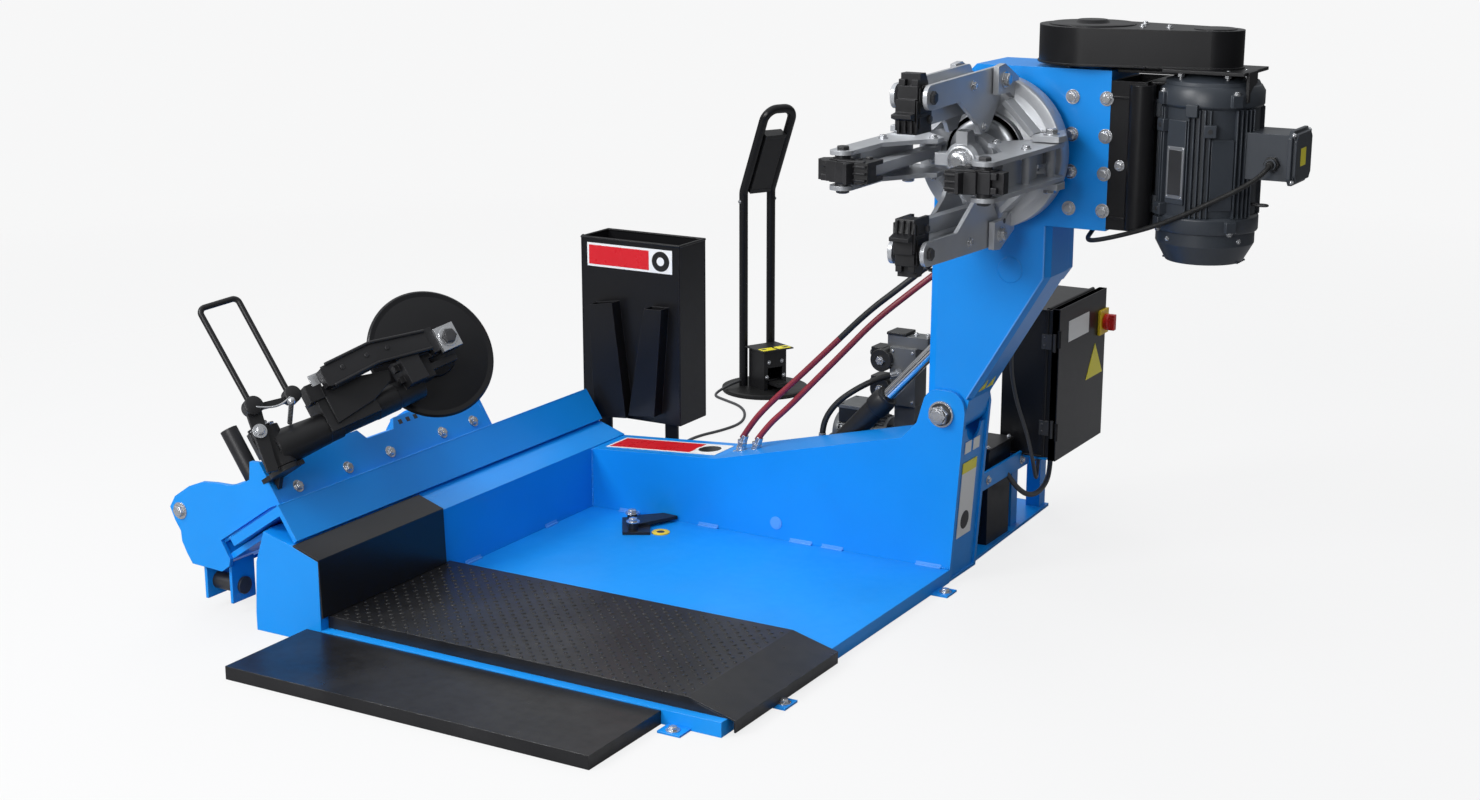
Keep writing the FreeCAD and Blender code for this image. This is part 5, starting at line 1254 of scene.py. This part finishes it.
def tool_trim():
    """Pivot bolt, lever bolt, turned barrel and cast gusset of the tool arm."""
    hex_bolts("tool_post_bolts", "carriage", [(0, -0.025, 0.048)], UP, 0.018, 0.012, 0.03, 0.0006, TOOL)
    arm = Piece("tool_arm_bolts", ZINC, TOOL)
    arm.bolt((-0.031, -0.086, 0.033), FRONT, 0.011, 0.008, 0.017)
    arm.rod((0.06, -0.04, 0.03), (0.06, -0.11, 0.062), 0.006, 18)
    arm.ball((0.06, -0.112, 0.063), 0.01)
    arm.box((0.138, -0.0745, 0.08), (0.166, -0.0705, 0.108))
    arm.done("tool_arm", bevel=0.0005)
    barrel = Piece("tool_arm_barrel", BLACK, TOOL)
    barrel.turned([(0.037, 0.0), (0.0425, 0.001), (0.0435, 0.004), (0.0434, 0.03), (0.0418, 0.06),
                   (0.0396, 0.09), (0.0384, 0.112), (0.0376, 0.134), (0.0355, 0.135)],
                  (0, -0.025, -0.014), RIGHT, 64)
    barrel.rod((0.268, -0.025, -0.012), (0.332, -0.025, -0.012), 0.035, 48, 0.0335)
    barrel.done("tool_arm", bevel=0.0012)
    on_edge = Matrix(((1, 0, 0, 0), (0, 0, -1, 0), (0, 1, 0, 0), (0, 0, 0, 1)))
    gusset = Piece("tool_arm_gusset", BLACK, TOOL @ on_edge)
    gusset.prism([(0.154, 0.073), (0.199, 0.073), (0.268, 0.058), (0.33, 0.045), (0.322, 0.02),
                  (0.261, -0.006), (0.154, -0.022)], 0.0655, 0.008)
    gusset.at(TOOL).box((0.118, -0.0735, 0.046), (0.16, -0.03, 0.09))
    gusset.done("tool_arm", bevel=0.0015)


def head_trim():
    """Clamp block, cast edges and holes of the hook's beam, and the bead disc's hub and rim."""
    head = Piece("tool_head_block", ZINC, TOOL)
    head.box((0.4605, -0.1145, 0.025), (0.5135, -0.1, 0.0855))
    head.rod((0.487, -0.114, 0.055), (0.487, -0.1165, 0.055), 0.024, 36)
    head.use(DARK_STEEL_AND_SHADE)
    head.bolt((0.487, -0.116, 0.055), FRONT, 0.019, 0.013)
    head.done("tool_head", bevel=0.0008)
    beam = Piece("tool_hook_edges", CAST, TOOL)
    for line in (((0.176, 0.058), (0.3, 0.066), (0.44, 0.046)),
                 ((0.176, 0.112), (0.3, 0.118), (0.44, 0.092))):
        for (x0, z0), (x1, z1) in zip(line, line[1:]):
            for y in (-0.108, -0.076):
                beam.rod((x0, y, z0), (x1, y, z1), 0.004, 14)
    for x, z in ((0.213, 0.09), (0.281, 0.093), (0.336, 0.09)):
        beam.rod((x, -0.1085, z), (x, -0.105, z), 0.0055, 20)
    beam.done("tool_head", bevel=0.0008)
    hex_bolts("disc_hub", "tool_head", [(0.486, 0.0285, 0.054)], BACK, 0.016, 0.011, 0.024, 0.0006, TOOL)
    edge = Piece("disc_rim", BLACK_SHEET, TOOL)
    edge.turned([(0.157, -0.0005), (0.1615, 0.001), (0.1628, 0.0035), (0.1615, 0.006), (0.157, 0.0075)],
                (0.486, 0.01, 0.054), BACK, 96)
    edge.done("bead_disc")


def handle_trim():
    """Round caps on the handle's two pivots, with a sagging wire between them."""
    piece = Piece("handle_caps", BLACK, TOOL)
    for x, z, radius in ((-0.018, 0.092, 0.0225), (0.078, 0.08, 0.0205)):
        piece.turned([(radius * 0.9, 0.0), (radius, 0.002), (radius, 0.008), (radius * 0.8, 0.0105)],
                     (x, -0.0885, z), FRONT, 40)
    piece.done("lift_handle", bevel=0.0008)
    wire = Piece("handle_wire", ZINC, TOOL)
    start, end = Vector((-0.016, -0.097, 0.086)), Vector((0.08, -0.095, 0.082))
    spots = [start.lerp(end, step / 12) - Vector((0, 0.004, 0.016)) * math.sin(math.pi * step / 12)
             for step in range(13)]
    for before, after in zip(spots, spots[1:]):
        wire.rod(before, after, 0.0024, 10)
    wire.done("lift_handle", angle=80)


carriage_trim()
rail_trim()
tool_trim()
head_trim()
handle_trim()


# ---------------------------------------------------------------- floor, light
FLOOR_NEAR, FLOOR_FAR = 2.6, 6.0
BACKDROP = (0.93, 0.931, 0.933, 1)
FLOOR_GLOW = 0.86
SKY_LOW, SKY_HIGH = 0.1, 1.0


def mix_shader(tree, factor, first, second):
    made = node(tree, "ShaderNodeMixShader")
    for slot, value in zip(made.inputs, (factor, first, second)):
        if isinstance(value, float):
            slot.default_value = value
        else:
            tree.links.new(value, slot)
    return made.outputs[0]


def floor_material():
    """Pale floor: seen, it glows like the background with faint shadows; it bounces little light."""
    material = bpy.data.materials.new("studio_floor")
    material.use_nodes = True
    tree = material.node_tree
    shader = tree.nodes["Principled BSDF"]
    shader.inputs["Base Color"].default_value = (0.74, 0.74, 0.745, 1)
    shader.inputs["Roughness"].default_value = 0.8
    shader.inputs["Specular IOR Level"].default_value = 0.1
    dim = node(tree, "ShaderNodeBsdfDiffuse", Color=(0.34, 0.34, 0.35, 1))
    glow = node(tree, "ShaderNodeEmission", Color=BACKDROP)
    length = node(tree, "ShaderNodeVectorMath", operation="LENGTH")
    tree.links.new(node(tree, "ShaderNodeTexCoord").outputs["Object"], length.inputs[0])
    fade = ramp(tree, length.outputs["Value"], 0.0, 1.0, FLOOR_NEAR, FLOOR_FAR)
    clear = node(tree, "ShaderNodeBsdfTransparent")
    seen = node(tree, "ShaderNodeLightPath").outputs["Is Camera Ray"]
    lit = mix_shader(tree, FLOOR_GLOW, shader.outputs[0], glow.outputs[0])
    near = mix_shader(tree, seen, dim.outputs[0], lit)
    tree.links.new(mix_shader(tree, fade, near, clear.outputs[0]),
                   tree.nodes["Material Output"].inputs["Surface"])
    return material


def studio_world():
    """Plain pale backdrop; the light it gives is bright overhead and dim towards the horizon."""
    world = bpy.data.worlds.new("studio")
    scene.world = world
    world.use_nodes = True
    tree = world.node_tree
    link = tree.links.new
    seen = tree.nodes["Background"]
    seen.inputs["Color"].default_value = BACKDROP
    around = node(tree, "ShaderNodeBackground", Color=(0.96, 0.98, 1.0, 1))
    split = node(tree, "ShaderNodeSeparateXYZ")
    link(node(tree, "ShaderNodeTexCoord").outputs["Generated"], split.inputs[0])
    overhead = ramp(tree, split.outputs["Z"], SKY_LOW, SKY_HIGH, -0.05, 0.9)
    left = ramp(tree, split.outputs["X"], 1.15, 0.55, -0.8, 0.8)
    link(math_node(tree, "MULTIPLY", overhead, left), around.inputs["Strength"])
    direct = node(tree, "ShaderNodeLightPath").outputs["Is Camera Ray"]
    link(mix_shader(tree, direct, around.outputs[0], seen.outputs[0]),
         tree.nodes["World Output"].inputs["Surface"])


LIGHTS = (
    ("key", (-2.4, -4.2, 4.0), (0, 0.4, 0.5), 2.4, 230),
    ("front", (0.6, -5.2, 2.4), (0.3, 0.5, 0.9), 2.0, 120),
    ("rim", (-2.6, 4.2, 3.6), (0, 0.4, 0.5), 2.4, 60),
    ("top", (0.2, 0.2, 5.6), (0.2, 0.4, 0.3), 3.0, 70),
)


def studio():
    mesh = bmesh.new()
    bmesh.ops.create_grid(mesh, x_segments=1, y_segments=1, size=FLOOR_FAR)
    floor = mesh_object("floor", mesh, [floor_material()])
    floor.location = (0, 0.8, 0)
    studio_world()
    for name, place, aim, size, power in LIGHTS:
        data = bpy.data.lights.new(name, "AREA")
        data.shape = "DISK"
        data.size = size
        data.energy = power
        light = add_object(name, data)
        light.location = place
        light.visible_glossy = name in ("key", "front")
        light.rotation_euler = (Vector(aim) - Vector(place)).to_track_quat("-Z", "Y").to_euler()


studio()
scene.view_settings.view_transform = "Standard"
